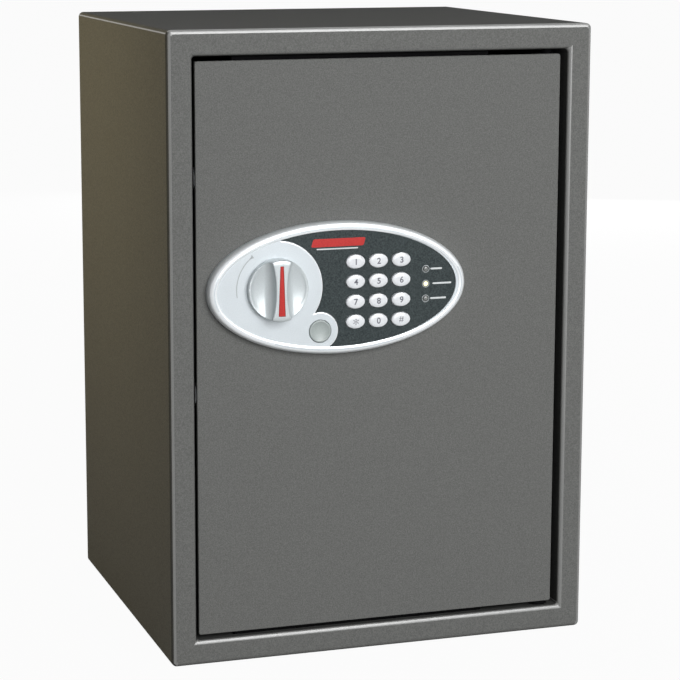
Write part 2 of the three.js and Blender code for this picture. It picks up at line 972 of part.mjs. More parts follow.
// Heights in the solenoid are measured down from the lower edge of the lug
function solenoidBody() {
  const top = -coilBelowLug;
  const coil = block(-coilWidth / 2, coilWidth / 2, -coilDepth / 2, coilDepth / 2, top - coilHeight, top);
  const bore = rodZ(plungerRadius + play, top - plungerInCoil - play, top + past, 0, 0, 16);
  const foot = block(
    -coilWidth / 2,
    coilWidth / 2,
    gap - plungerY(),
    -coilDepth / 2 + past,
    top - coilHeight,
    top - coilHeight + coilFootHeight,
  );
  return cut(join(coil, foot), bore);
}

function solenoidPlunger() {
  const coilTop = -coilBelowLug;
  const head = coilTop + gap * 2 + springHeight;
  return alongZ(turned([
    [0, coilTop - plungerInCoil],
    [plungerRadius, coilTop - plungerInCoil],
    [plungerRadius, head],
    [plungerHeadRadius, head],
    [plungerHeadRadius, head + plungerHead],
    [plungerRadius, head + plungerHead],
    [plungerRadius, head + plungerHead + plungerTip - plungerLead],
    [plungerRadius - plungerLead, head + plungerHead + plungerTip],
    [0, head + plungerHead + plungerTip],
  ], 16));
}

function plungerSpring() {
  const radius = (plungerRadius + plungerHeadRadius) / 2;
  const rise = springHeight - 2 * springWire;
  const bottom = gap - coilBelowLug + springWire;
  const points = [];
  const steps = springTurns * 8;
  for (let i = 0; i <= steps; i++) {
    const angle = (i / 8) * Math.PI * 2;
    points.push(new THREE.Vector3(
      radius * Math.cos(angle),
      radius * Math.sin(angle),
      bottom + rise * (i / steps),
    ));
  }
  const section = new THREE.Shape().absarc(0, 0, springWire, 0, Math.PI * 2);
  return new THREE.ExtrudeGeometry(section, {
    steps,
    curveSegments: 5,
    extrudePath: new THREE.CatmullRomCurve3(points),
  });
}

function buildBoltwork(door) {
  const work = subgroup(door, knobX, 0, lockHeight);
  for (const [name, side] of [['upper_bolt', 1], ['lower_bolt', -1]]) {
    const tip = doorLeft + boltSetback - knobX;
    piece(work, name, bolt(), zincSteel(), tip, boltBehindDoor, side * boltSpacing / 2);
  }
  piece(work, 'bolt_carriage', boltCarriage(), zincSteel());
  piece(work, 'bolt_cam', boltCam(), zincSteel());
  piece(work, 'spindle', spindle(), zincSteel());
  piece(work, 'spindle_clip', spindleClip(), darkSteel(), 0, clipAt(), 0);
  const lugBottom = -webHeight / 2 - lugHeight;
  const solenoid = subgroup(work, plungerX(), plungerY(), lugBottom);
  piece(solenoid, 'solenoid_body', solenoidBody(), finish(0x2f3a5a, 0.5, 0.2));
  piece(solenoid, 'solenoid_plunger', solenoidPlunger(), zincSteel());
  piece(solenoid, 'plunger_spring', plungerSpring(), zincSteel());
}

// Knob, in front of the fascia's plateau
function knob() {
  const back = -doorSheet - plateauHeight - gap;
  const edge = back - knobEdge;
  const bore = spindleRadius + gap;
  const disc = turned([
    [0, back],
    [knobRadius, back],
    [knobRadius, edge + knobRound],
    [knobRadius - knobRound, edge],
    [knobRadius * 0.75, edge - knobDish * 0.4],
    [0, edge - knobDish],
  ], 32);
  const half = knobRadius - knobGripSetback;
  const end = knobGripEnd / 2;
  const waist = knobGripWaist / 2;
  const outline = new THREE.Shape();
  outline.moveTo(-end, -half);
  outline.quadraticCurveTo(0, -knobRadius, end, -half);
  outline.quadraticCurveTo(2 * waist - end, 0, end, half);
  outline.quadraticCurveTo(0, knobRadius, -end, half);
  outline.quadraticCurveTo(end - 2 * waist, 0, -end, -half);
  const grip = toSolid(plateXZ(outline, back - knobGripHeight, back - past, 6))
    .intersect(toSolid(rod(knobRadius - knobGripSetback, back - knobGripHeight - past, back, 0, 0, 32)));
  const boreEnd = -doorSheet - plateauHeight - knobEdge - gap;
  return cut(
    join(disc, grip),
    rod(bore, boreEnd, back + past),
    plateXZ(stripeOutline(gap), back - knobGripHeight - past, back - knobGripHeight + stripeSheet),
  );
}

function stripeOutline(margin) {
  const half = stripeLength / 2 + margin;
  const top = stripeTop / 2 + margin;
  const bottom = stripeBottom / 2 + margin;
  return new THREE.Shape([
    new THREE.Vector2(-bottom, -half),
    new THREE.Vector2(bottom, -half),
    new THREE.Vector2(top, half),
    new THREE.Vector2(-top, half),
  ]);
}

function knobStripe() {
  const front = -doorSheet - plateauHeight - gap - knobGripHeight;
  return plateXZ(stripeOutline(0), front - gap, front + stripeSheet - gap);
}

function buildKnob(door) {
  const group = subgroup(door, knobX, 0, lockHeight);
  piece(group, 'knob', knob(), silverPlastic());
  piece(group, 'knob_insert', knobStripe(), finish(0xb2303c, 0.45, 0));
}

// Emergency key lock, below and to the right of the knob
function overrideLock() {
  const front = -doorSheet - plateauHeight + capSheet;
  const body = rod(overrideRadius, front, overrideBehindDoor);
  const nut = rod(lockNutRadius, gap, gap + lockNutHeight, 0, 0, 6);
  return cut(join(body, nut), rod(plugRadius + gap, front - past, overrideBehindDoor + past));
}

function overridePlug() {
  const front = -doorSheet - plateauHeight + capSheet + gap;
  const barrel = rod(plugRadius, front, overrideBehindDoor);
  const half = keywayWidth / 2;
  const keywayEnd = overrideBehindDoor - keywayFromRear;
  const keyway = block(-half, half, front - past, keywayEnd, -keywayBelow, keywayAbove);
  const tailEnd = overrideBehindDoor + gap + overrideArmSheet + gap;
  const tail = rod(plugTailRadius, overrideBehindDoor - past, tailEnd, 0, 0, 12);
  return join(cut(barrel, keyway), tail);
}

function overrideCam() {
  const front = overrideBehindDoor + gap;
  const half = overrideArmWidth / 2;
  const outline = new THREE.Shape();
  outline.absarc(0, 0, half, 0, Math.PI);
  outline.lineTo(-half, -overrideArm);
  outline.lineTo(half, -overrideArm);
  outline.closePath();
  outline.holes.push(ellipse(0, 0, plugTailRadius + gap, plugTailRadius + gap));
  return plateXZ(outline, front, front + overrideArmSheet, 8);
}

function overrideCap() {
  const front = -doorSheet - plateauHeight;
  return turned([
    [0, front - capCrown],
    [capRadius * 0.6, front - capCrown * 0.8],
    [capRadius - capRound, front - capCrown * 0.2],
    [capRadius, front + capRound - capCrown * 0.2],
    [capRadius, front + capSheet - gap],
    [0, front + capSheet - gap],
  ]);
}

function buildOverride(door) {
  const group = subgroup(door, knobX + overrideRight, 0, lockHeight - overrideDown);
  piece(group, 'override_lock', overrideLock(), zincSteel());
  piece(group, 'override_plug', overridePlug(), finish(0xc9a868, 0.35, 0.9));
  piece(group, 'override_cam', overrideCam(), zincSteel());
  piece(group, 'override_cap', overrideCap(), finish(0xa9b1b0, 0.4, 0.1));
}

// Fascia, in a group on the front face of the door, with its own centre as origin.
// Outward is -Y, so a height above the door is written as a negative y.
const knobLocal = { x: knobX - fasciaX, z: lockHeight - fasciaZ };
const lobeLocal = { x: knobLocal.x + overrideRight, z: knobLocal.z - overrideDown };
const pocketHeight = plateauHeight - pocketDepth;
const floorHeight = pocketHeight - pocketFloor;
const panelTop = pocketHeight + gap + panelSheet;

// The dark area: inside the rim, to the right of the disc round the knob and of the lobe
// round the key lock
function panelArea(shrink, low, high) {
  const halfWidth = fasciaHalfWidth - rimWidth - shrink;
  const halfHeight = fasciaHalfHeight - rimWidth - shrink;
  const [y0, y1] = [-high, -low];
  const far = fasciaHalfWidth * 2;
  return cut(
    plateXZ(ellipse(0, 0, halfWidth, halfHeight), y0, y1, 48),
    rod(discRadius + shrink, y0 - past, y1 + past, knobLocal.x, knobLocal.z, 36),
    rod(lobeRadius + shrink, y0 - past, y1 + past, lobeLocal.x, lobeLocal.z, 24),
    block(-far, knobLocal.x + shrink, y0 - past, y1 + past, -far, far),
    block(-far, lobeLocal.x + shrink, y0 - past, y1 + past, -far, lobeLocal.z + lobeRadius / 2),
  );
}

function keyPlaces() {
  const names = ['1', '2', '3', '4', '5', '6', '7', '8', '9', 'star', '0', 'hash'];
  return names.map((name, i) => ({
    name: `key_${name}`,
    x: keyColumnFirst + (i % 3) * keyColumnPitch,
    z: keyRowTop - Math.floor(i / 3) * keyRowPitch,
  }));
}

function lightHeights() {
  return [lightPitch, 0, -lightPitch];
}

function keypadHoles(y0, y1) {
  const [halfWidth, halfHeight] = [keyHalfWidth + play, keyHalfHeight + play];
  const keyHole = ellipseRing(halfWidth, halfHeight, y0, 16);
  const keyHoleTop = ellipseRing(halfWidth, halfHeight, y1, 16);
  return [
    ...keyPlaces().map(({ x, z }) => loft([keyHole, keyHoleTop], false).translate(x, 0, z)),
    ...lightHeights().map((z) => rod(lightRadius + play, y0, y1, lightFromCentre, z, 12)),
  ];
}

// Pins on the back of the fascia that the keypad board rests on
function boardPosts() {
  const xs = [0.5, 2.5].map((column) => keyColumnFirst + column * keyColumnPitch);
  const zs = [0.5, 2.5].map((row) => keyRowTop - row * keyRowPitch);
  const [y0, y1] = [-floorHeight - past, -boardTop() - gap];
  return xs.flatMap((x) => zs.map((z) => rod(boardPostRadius, y0, y1, x, z, 10)));
}

function boardTop() {
  return floorHeight - gap - keyFlangeSheet - keyTravel - gap;
}

function fasciaBezel() {
  const ring = (inset, height) => ellipseRing(
    fasciaHalfWidth - inset,
    fasciaHalfHeight - inset,
    -height,
    48,
  );
  const rimCurve = [[0, 0.5], [0.1, 0.74], [0.32, 0.93], [0.6, 1], [0.86, 0.97]];
  const shell = loft([
    ring(fasciaWall + fasciaInsideCorner, floorHeight),
    ring(fasciaWall, floorHeight - fasciaInsideCorner),
    ring(fasciaWall, gap),
    ring(0, gap),
    ...rimCurve.map(([across, up]) => ring(rimWidth * across, rimHeight * up)),
    ring(rimWidth, plateauHeight),
  ], false);
  const bosses = fasciaBossXs().map((x) => rod(
    fasciaBossRadius,
    -floorHeight - past,
    -gap,
    x,
    0,
    16,
  ));
  const screwHoles = fasciaBossXs().map((x) => rod(
    fasciaScrewRadius + gap,
    -floorHeight,
    0,
    x,
    0,
    12,
  ));
  return cut(
    join(shell, ...bosses, ...boardPosts()),
    panelArea(0, pocketHeight, rimHeight + past),
    ...keypadHoles(-rimHeight, 0),
    rod(spindleRadius + play, -rimHeight - past, 0, knobLocal.x, knobLocal.z),
    rod(capRadius + play, -rimHeight - past, 0, lobeLocal.x, lobeLocal.z),
    ...screwHoles,
  );
}

function keypadPanel() {
  const sheet = panelArea(gap, pocketHeight + gap, panelTop);
  return cut(sheet, ...keypadHoles(-panelTop - past, 0));
}

function keypadBoard() {
  const insideWidth = fasciaHalfWidth - fasciaWall - play * 2;
  const insideHeight = fasciaHalfHeight - fasciaWall - play * 2;
  const [y0, y1] = [-boardTop(), -boardTop() + boardSheet];
  const left = keyColumnFirst - keyHalfWidth - boardBeyondKeys;
  const right = fasciaBossFromCentre - fasciaBossRadius - gap;
  const half = keyRowPitch * 2 + keyHalfHeight;
  const inside = plateXZ(ellipse(0, 0, insideWidth, insideHeight), y0 - past, y1 + past, 40);
  return toSolid(block(left, right, y0, y1, -half, half)).intersect(toSolid(inside));
}

function keyCap() {
  const back = floorHeight - gap - keyFlangeSheet;
  const shoulder = floorHeight - gap;
  const top = panelTop + keyProud;
  const ring = (margin, height) => ellipseRing(
    keyHalfWidth + margin,
    keyHalfHeight + margin,
    -height,
    16,
  );
  return loft([
    ring(keyFlange, back),
    ring(keyFlange, shoulder),
    ring(0, shoulder),
    ring(0, top - keyCrown),
    ring(-keyRound, top - keyCrown + keyRound),
    ring(-keyTopInset, top),
  ], false);
}

// One clear moulding carries the light of the board to three lenses
function statusLights() {
  const back = boardTop() + gap;
  const top = panelTop + lightProud;
  const lens = [
    [0, -back],
    [lightRadius, -back],
    [lightRadius, -top + lightDome],
    [lightRadius * 0.7, -top + lightDome / 3],
    [0, -top],
  ];
  const bar = block(
    lightFromCentre - lightRadius - lightBarMargin,
    lightFromCentre + lightRadius + lightBarMargin,
    -back - lightBar,
    -back,
    -lightPitch - lightRadius - lightBarMargin,
    lightPitch + lightRadius + lightBarMargin,
  );
  return join(bar, ...lightHeights().map((z) => turned(lens, 12).translate(lightFromCentre, 0, z)));
}

// The cable runs from the back of the keypad board through the door to the circuit board
function keypadCable() {
  const start = -boardTop() + boardSheet + gap;
  const end = doorSheet + panDepth - panSheet - circuitFromPan - boardSheet - gap;
  const x = cableX() - fasciaX;
  const span = end - start;
  const path = new THREE.CatmullRomCurve3([
    new THREE.Vector3(x, start, 0),
    new THREE.Vector3(x, start + span * 0.15, 0),
    new THREE.Vector3(x, start + span * 0.35, 0),
    new THREE.Vector3(x + cableBend, start + span * 0.5, cableRise * 0.375),
    new THREE.Vector3(x + cableBend, start + span * 0.65, cableRise * 0.75),
    new THREE.Vector3(x, start + span * 0.85, cableRise),
    new THREE.Vector3(x, end, cableRise),
  ]);
  const section = new THREE.Shape().absarc(0, 0, cableRadius, 0, Math.PI * 2);
  return new THREE.ExtrudeGeometry(section, { steps: 10, curveSegments: 6, extrudePath: path });
}

function buildFascia(door) {
  const group = subgroup(door, fasciaX, -doorSheet, fasciaZ);
  piece(group, 'fascia_bezel', fasciaBezel(), silverPlastic());
  piece(group, 'keypad_panel', keypadPanel(), finish(0x3c464b, 0.5, 0.05));
  piece(group, 'keypad_board', keypadBoard(), finish(0x1f5a3a, 0.6, 0.05));
  piece(group, 'keypad_cable', keypadCable(), finish(0x9a9da0, 0.7, 0));
  for (const { name, x, z } of keyPlaces()) {
    piece(group, name, keyCap(), whiteKey(), x, 0, z);
  }
  piece(group, 'status_lights', statusLights(), finish(0xe4e6c8, 0.25, 0));
}

// Battery box, circuit board and reset button, held by the pan
function batteryBoxPlace() {
  const inside = {
    width: batteryLength + 2 * play,
    height: batteryCount * (2 * batteryRadius + gap) + gap,
    depth: 2 * batteryRadius + 2 * gap,
  };
  const right = panRight - batteryBoxFromPanEdge + inside.width / 2;
  const left = right - inside.width;
  return { inside, left, right, bottom: batteryBoxBottom, top: batteryBoxBottom + inside.height };
}

function batteryBox() {
  const { inside, left, right, bottom, top } = batteryBoxPlace();
  const rear = panDepth - panSheet - gap;
  const front = rear - inside.depth - batteryWall;
  return cut(
    block(left - batteryWall, right + batteryWall, front, rear, bottom - batteryWall, top + batteryWall),
    block(left, right, front + batteryWall, rear + past, bottom, top),
  );
}

// Four cells side by side in one wrapped pack
function batteryPack() {
  const { left, right, bottom } = batteryBoxPlace();
  const y = panDepth - panSheet - gap - gap - batteryRadius;
  const x = (left + right - batteryLength) / 2;
  const pitch = 2 * batteryRadius + gap;
  const first = bottom + gap + batteryRadius;
  const cells = Array.from({ length: batteryCount }, (_, i) => alongX(turned([
    [0, 0],
    [batteryRadius, 0],
    [batteryRadius, batteryLength - batteryNub],
    [batteryNubRadius, batteryLength - batteryNub],
    [batteryNubRadius, batteryLength],
    [0, batteryLength],
  ], 12)).translate(x, y, first + i * pitch));
  const wrap = block(
    x + batteryWrapInset,
    x + batteryLength - batteryNub - batteryWrapInset,
    y - batteryRadius * 0.8,
    y + batteryRadius * 0.8,
    first,
    first + (batteryCount - 1) * pitch,
  );
  return join(wrap, ...cells);
}

function batteryCover() {
  const window = batteryBoxPlace();
  const lap = batteryCoverLap;
  const face = panDepth + gap;
  const plate = block(
    window.left - lap,
    window.right + lap,
    face,
    face + batteryCoverSheet,
    window.bottom - lap,
    window.top + lap,
  );
  const ribFront = panDepth - panSheet + gap;
  const ribEnds = [window.left + coverRibFromSide, window.right - coverRibFromSide];
  const rib = (z) => block(...ribEnds, ribFront, face + past, z, z + coverRib);
  return join(plate, rib(window.bottom + gap), rib(window.top - gap - coverRib));
}

function circuitPlace() {
  const left = cableX() - circuitLeftOfCable;
  return { left, right: left + circuitWidth, rear: panDepth - panSheet - circuitFromPan };
}

function circuitBoard() {
  const { left, right, rear } = circuitPlace();
  const top = circuitBottom + circuitHeight;
  const front = rear - boardSheet;
  const middle = rear - boardSheet / 2;
  const board = block(left, right, front, rear, circuitBottom, top);
  const inset = circuitPostFromEdge;
  const posts = [left + inset, right - inset].flatMap((x) => [circuitBottom + inset, top - inset]
    .map((z) => rod(circuitPostRadius, middle, panDepth - panSheet - gap, x, z, 10)));
  const chipLeft = left + chipFromLeft;
  const chipBottom = circuitBottom + chipFromBottom;
  const chip = block(
    chipLeft,
    chipLeft + chipSize,
    front - chipHeight,
    middle,
    chipBottom,
    chipBottom + chipSize,
  );
  const buzzerX = left + buzzerFromLeft;
  const buzzerZ = circuitBottom + buzzerFromBottom;
  const buzzer = rod(buzzerRadius, front - buzzerHeight, middle, buzzerX, buzzerZ, 16);
  return join(board, ...posts, chip, buzzer);
}

function resetPlace() {
  return { x: circuitPlace().left + resetFromLeft, z: circuitBottom + circuitHeight - resetFromTop };
}

function resetButton() {
  const { x, z } = resetPlace();
  const inner = panDepth - panSheet - gap;
  const foot = circuitPlace().rear + resetTravel + gap;
  const top = panDepth + resetProud;
  return turned([
    [0, foot],
    [resetStemRadius, foot],
    [resetStemRadius, inner - resetFlange],
    [resetRadius + resetFlange, inner - resetFlange],
    [resetRadius + resetFlange, inner],
    [resetRadius, inner],
    [resetRadius, top - resetRound],
    [resetRadius - resetRound, top],
    [0, top],
  ], 20).translate(x, 0, z);
}

function buildElectrics(door) {
  piece(door, 'battery_box', batteryBox(), finish(0x26282a, 0.6, 0));
  piece(door, 'battery_pack', batteryPack(), finish(0xb9852f, 0.4, 0.5));
  piece(door, 'battery_cover', batteryCover(), finish(0x2b2d2f, 0.55, 0));
  piece(door, 'circuit_board', circuitBoard(), finish(0x1f5a3a, 0.6, 0.05));
  piece(door, 'reset_button', resetButton(), finish(0xb02a2a, 0.4, 0));
}

const safe = new THREE.Group();
buildCase(safe);
const door = subgroup(safe, 0, doorBackY, 0);
buildDoor(door);
buildBoltwork(door);
buildKnob(door);
buildOverride(door);
buildFascia(door);
buildElectrics(door);

export default safe;
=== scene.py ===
import math

import bmesh
import bpy
from mathutils import Matrix, Vector


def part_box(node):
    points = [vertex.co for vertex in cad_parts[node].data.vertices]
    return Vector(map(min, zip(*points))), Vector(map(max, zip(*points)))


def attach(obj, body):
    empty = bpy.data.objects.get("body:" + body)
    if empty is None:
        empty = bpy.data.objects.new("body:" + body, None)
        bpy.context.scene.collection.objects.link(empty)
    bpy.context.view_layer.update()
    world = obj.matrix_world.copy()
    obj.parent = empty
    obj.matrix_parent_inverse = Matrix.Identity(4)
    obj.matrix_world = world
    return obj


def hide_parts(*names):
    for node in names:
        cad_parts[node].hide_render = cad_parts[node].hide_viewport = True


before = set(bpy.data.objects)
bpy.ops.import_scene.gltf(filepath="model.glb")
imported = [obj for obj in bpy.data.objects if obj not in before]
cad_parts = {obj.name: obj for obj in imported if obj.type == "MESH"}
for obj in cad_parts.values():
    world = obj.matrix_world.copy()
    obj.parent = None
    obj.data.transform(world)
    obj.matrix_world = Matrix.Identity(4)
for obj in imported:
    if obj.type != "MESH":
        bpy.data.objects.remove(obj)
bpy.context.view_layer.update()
mm = 0.001
quarter = math.pi / 2
sides = (-1, 1)


# sizes that are given in millimetres
def inMm(**sizes):
    return {name: size * mm for name, size in sizes.items()}


# each way a form can be drawn: its direction, and the turn that points a circle there
ways = {
    "front": (Vector((0, -1, 0)), (quarter, 0, 0)),
    "back": (Vector((0, 1, 0)), (-quarter, 0, 0)),
    "left": (Vector((-1, 0, 0)), (0, -quarter, 0)),
    "up": (Vector((0, 0, 1)), (0, 0, 0)),
    "down": (Vector((0, 0, -1)), (math.pi, 0, 0)),
}


def choose(*pieces):
    if bpy.context.mode != "OBJECT":
        bpy.ops.object.mode_set(mode="OBJECT")
    bpy.ops.object.select_all(action="DESELECT")
    for piece in pieces:
        piece.select_set(True)
    bpy.context.view_layer.objects.active = pieces[0]


def settle(piece, name):
    piece.name = name
    choose(piece)
    bpy.ops.object.transform_apply(location=True, rotation=True, scale=True)
    return piece


def startEdit(piece):
    choose(piece)
    bpy.ops.object.mode_set(mode="EDIT")
    bpy.ops.mesh.select_all(action="DESELECT")


def endEdit():
    bpy.ops.object.mode_set(mode="OBJECT")


def selectAll():
    bpy.ops.mesh.select_all(action="SELECT")


def extrude(step):
    bpy.ops.mesh.extrude_region_move(TRANSFORM_OT_translate={"value": step})


def faceOutward():
    selectAll()
    bpy.ops.mesh.normals_make_consistent(inside=False)


def joinPoints():
    selectAll()
    bpy.ops.mesh.remove_doubles(threshold=0.001 * mm)


def pickFaces(piece, wanted):
    bpy.ops.mesh.select_mode(type="FACE")
    bpy.ops.mesh.select_all(action="DESELECT")
    mesh = bmesh.from_edit_mesh(piece.data)
    for face in mesh.faces:
        face.select_set(bool(wanted(face.calc_center_median(), face.normal)))
    bmesh.update_edit_mesh(piece.data)


def pickFacing(piece, way):
    pickFaces(piece, lambda place, normal: normal.dot(ways[way][0]) > 0.9)


def pickEdges(piece, wanted):
    bpy.ops.mesh.select_mode(type="EDGE")
    bpy.ops.mesh.select_all(action="DESELECT")
    mesh = bmesh.from_edit_mesh(piece.data)
    for edge in mesh.edges:
        if wanted(edge.verts[0].co, edge.verts[1].co):
            edge.select_set(True)
    bmesh.update_edit_mesh(piece.data)


def near(a, b, slack=0.02 * mm):
    return abs(a - b) < slack


def bothNear(a, b, place):
    return near(a, place) and near(b, place)


def alongDepth(a, b):
    return near(a.x, b.x) and near(a.z, b.z)


def spanOf(node):
    low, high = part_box(node)
    return low, high, (low + high) / 2


def middleOf(node):
    return spanOf(node)[2]


# a primitive at its size and place, which then lie in its mesh
def addForm(name, primitive, scale, **settings):
    bpy.ops.object.select_all(action="DESELECT")
    primitive(**settings)
    form = bpy.context.active_object
    form.scale = scale
    return settle(form, name)


def addBox(name, low, high):
    low, high = Vector(low), Vector(high)
    return addForm(name, bpy.ops.mesh.primitive_cube_add, high - low, size=1,
                   location=(low + high) / 2)


# a round or oval form, drawn out of a flat face ring by ring: distance, half width, half height
def drawForm(name, foot, way, rings, corners=64):
    direction, turn = ways[way]
    distance, wide, high = rings[0]
    form = addForm(
        name, bpy.ops.mesh.primitive_circle_add, (wide, high, 1), vertices=corners, radius=1,
        fill_type="NGON", location=Vector(foot) + direction * distance, rotation=turn,
    )
    startEdit(form)
    selectAll()
    for nextDistance, nextWide, nextHigh in rings[1:]:
        extrude(direction * (nextDistance - distance))
        growWide, growHigh = nextWide / wide, nextHigh / high
        sameGrowth = near(growWide, growHigh, 1e-6)
        bpy.ops.transform.resize(
            value=(growWide,) * 3 if sameGrowth else (growWide, 1, growHigh),
            center_override=Vector(foot) + direction * nextDistance,
        )
        distance, wide, high = nextDistance, nextWide, nextHigh
    faceOutward()
    endEdit()
    return form


# the same for a round form, from distances and radii
def drawRound(name, foot, way, profile, corners=64):
    rings = [(distance, radius, radius) for distance, radius in profile]
    return drawForm(name, foot, way, rings, corners)


def addRod(name, foot, way, length, radius, corners=64):
    return drawRound(name, foot, way, [(0, radius), (length, radius)], corners)


def modify(piece, kind, **settings):
    choose(piece)
    modifier = piece.modifiers.new(kind.title(), kind)
    for name, value in settings.items():
        setattr(modifier, name, value)
    bpy.ops.object.modifier_apply(modifier=modifier.name)


def combine(piece, operation, others):
    for other in others:
        modify(piece, "BOOLEAN", operation=operation, solver="EXACT", object=other)
        bpy.data.objects.remove(other)


def carve(piece, *tools):
    combine(piece, "DIFFERENCE", tools)


def weld(piece, *others):
    combine(piece, "UNION", others)


def thicken(piece, sheet):
    modify(piece, "SOLIDIFY", thickness=sheet, offset=-1, use_even_offset=True)


def roundEdges(piece, wanted, radius, segments=3):
    startEdit(piece)
    pickEdges(piece, wanted)
    bpy.ops.mesh.bevel(offset=radius, segments=segments, affect="EDGES")
    endEdit()


# smooth over the bends, with the big flat faces kept flat
def shadeSmooth(piece, degrees=35):
    choose(piece)
    bpy.ops.object.shade_smooth_by_angle(angle=math.radians(degrees))
    modify(piece, "WEIGHTED_NORMAL", keep_sharp=True, weight=80)


def copyTo(piece, name, step):
    choose(piece)
    bpy.ops.object.duplicate(linked=False)
    twin = bpy.context.active_object
    bpy.ops.transform.translate(value=step)
    return settle(twin, name)


def joinPieces(first, *others):
    choose(first, *others)
    bpy.ops.object.join()
    return first


# a piece gets its finish, which has its slot's name unless another is given, its body and its nodes
def handOver(piece, body, slot, *nodes, finish=None):
    piece.data.materials.clear()
    piece.data.materials.append(finishes[finish or slot])
    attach(piece, body)
    if nodes:
        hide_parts(*nodes)


# finishes
# an input takes another node's output by a link, and anything else as its value
def setInputs(owner, node, inputs):
    for name, value in inputs.items():
        if isinstance(value, bpy.types.NodeSocket):
            owner.node_tree.links.new(value, node.inputs[name])
        else:
            node.inputs[name].default_value = value


def addNode(owner, kind, inputs=None, **settings):
    node = owner.node_tree.nodes.new(kind)
    for name, value in settings.items():
        setattr(node, name, value)
    setInputs(owner, node, inputs or {})
    return node


def addMaths(owner, operation, first, second):
    node = addNode(owner, "ShaderNodeMath", {0: first, 1: second}, operation=operation)
    return node.outputs["Value"]


def objectPlace(material, stretch=(1, 1, 1)):
    place = addNode(material, "ShaderNodeTexCoord")
    mapping = addNode(material, "ShaderNodeMapping", {
        "Vector": place.outputs["Object"], "Scale": stretch,
    })
    return mapping.outputs["Vector"]


def noiseOn(material, vector, scale, detail=3, roughness=0.5):
    noise = addNode(material, "ShaderNodeTexNoise", {
        "Vector": vector, "Scale": scale, "Detail": detail, "Roughness": roughness,
    })
    return noise.outputs["Fac"]


# most of a noise lies between these two values
noiseLow, noiseHigh = 0.3, 0.7


def between(material, noise, low, high):
    spread = addNode(material, "ShaderNodeMapRange", {
        "Value": noise, "From Min": noiseLow, "From Max": noiseHigh, "To Min": low, "To Max": high,
    })
    return spread.outputs["Result"]


def colourBetween(material, noise, dark, light):
    ramp = addNode(material, "ShaderNodeValToRGB", {"Fac": noise})
    first, last = ramp.color_ramp.elements
    first.position, last.position = noiseLow, noiseHigh
    first.color = (*dark, 1)
    last.color = (*light, 1)
    return ramp.outputs["Color"]


def bumpFrom(material, height, strength, distance):
    bump = addNode(material, "ShaderNodeBump", {
        "Height": height, "Strength": strength, "Distance": distance,
    })
    return bump.outputs["Normal"]


def startMaterial(name, look):
    material = bpy.data.materials.new(name)
    material.use_nodes = True
    shader = material.node_tree.nodes["Principled BSDF"]
    setInputs(material, shader, {
        "Metallic": look.get("metallic", 0), "Specular IOR Level": look.get("specular", 0.5),
        "Coat Weight": look.get("coat", 0), "Coat Roughness": 0.1,
    })
    return material, shader


# a finish with a fine grain: speckled colour, uneven gloss and a little relief
def grainedMaterial(name, look):
    material, shader = startMaterial(name, look)
    vector = objectPlace(material, look.get("stretch", (1, 1, 1)))
    fleck = noiseOn(material, vector, look["flecks"], 4, 0.6)
    cloud = noiseOn(material, vector, look["clouds"])
    relief = noiseOn(material, vector, look["bumps"])
    depth = look.get("depth", 0.1 * mm)
    setInputs(material, shader, {
        "Base Color": colourBetween(material, fleck, look["dark"], look["light"]),
        "Roughness": between(material, cloud, *look["roughness"]),
        "Normal": bumpFrom(material, relief, look["relief"], depth),
    })
    if "glow" in look:
        setInputs(material, shader, {
            "Emission Color": (*look["light"], 1), "Emission Strength": look["glow"],
        })
    return material


# needle felt: short crossed fibres over a soft pile
def feltMaterial(name, look):
    material, shader = startMaterial(name, look)
    across, along = look["stretches"]
    fibres = addMaths(
        material, "MAXIMUM",
        noiseOn(material, objectPlace(material, across), look["fibres"], 4, 0.7),
        noiseOn(material, objectPlace(material, along), look["fibres"], 4, 0.7),
    )
    setInputs(material, shader, {
        "Base Color": colourBetween(material, fibres, look["dark"], look["light"]),
        "Roughness": look["roughness"], "Sheen Weight": look["sheen"],
        "Normal": bumpFrom(material, fibres, look["relief"], look["depth"]),
    })
    return material


silverGrain = dict(roughness=(0.3, 0.38), flecks=1600, clouds=90, bumps=1800, relief=0.05)
inkGrain = dict(
    specular=0.4, roughness=(0.4, 0.5), flecks=1800, clouds=300, bumps=2000, relief=0.05,
)
lensGrain = dict(
    specular=0.6, roughness=(0.08, 0.14), coat=0.6, flecks=900, clouds=400, bumps=900, relief=0.02,
)

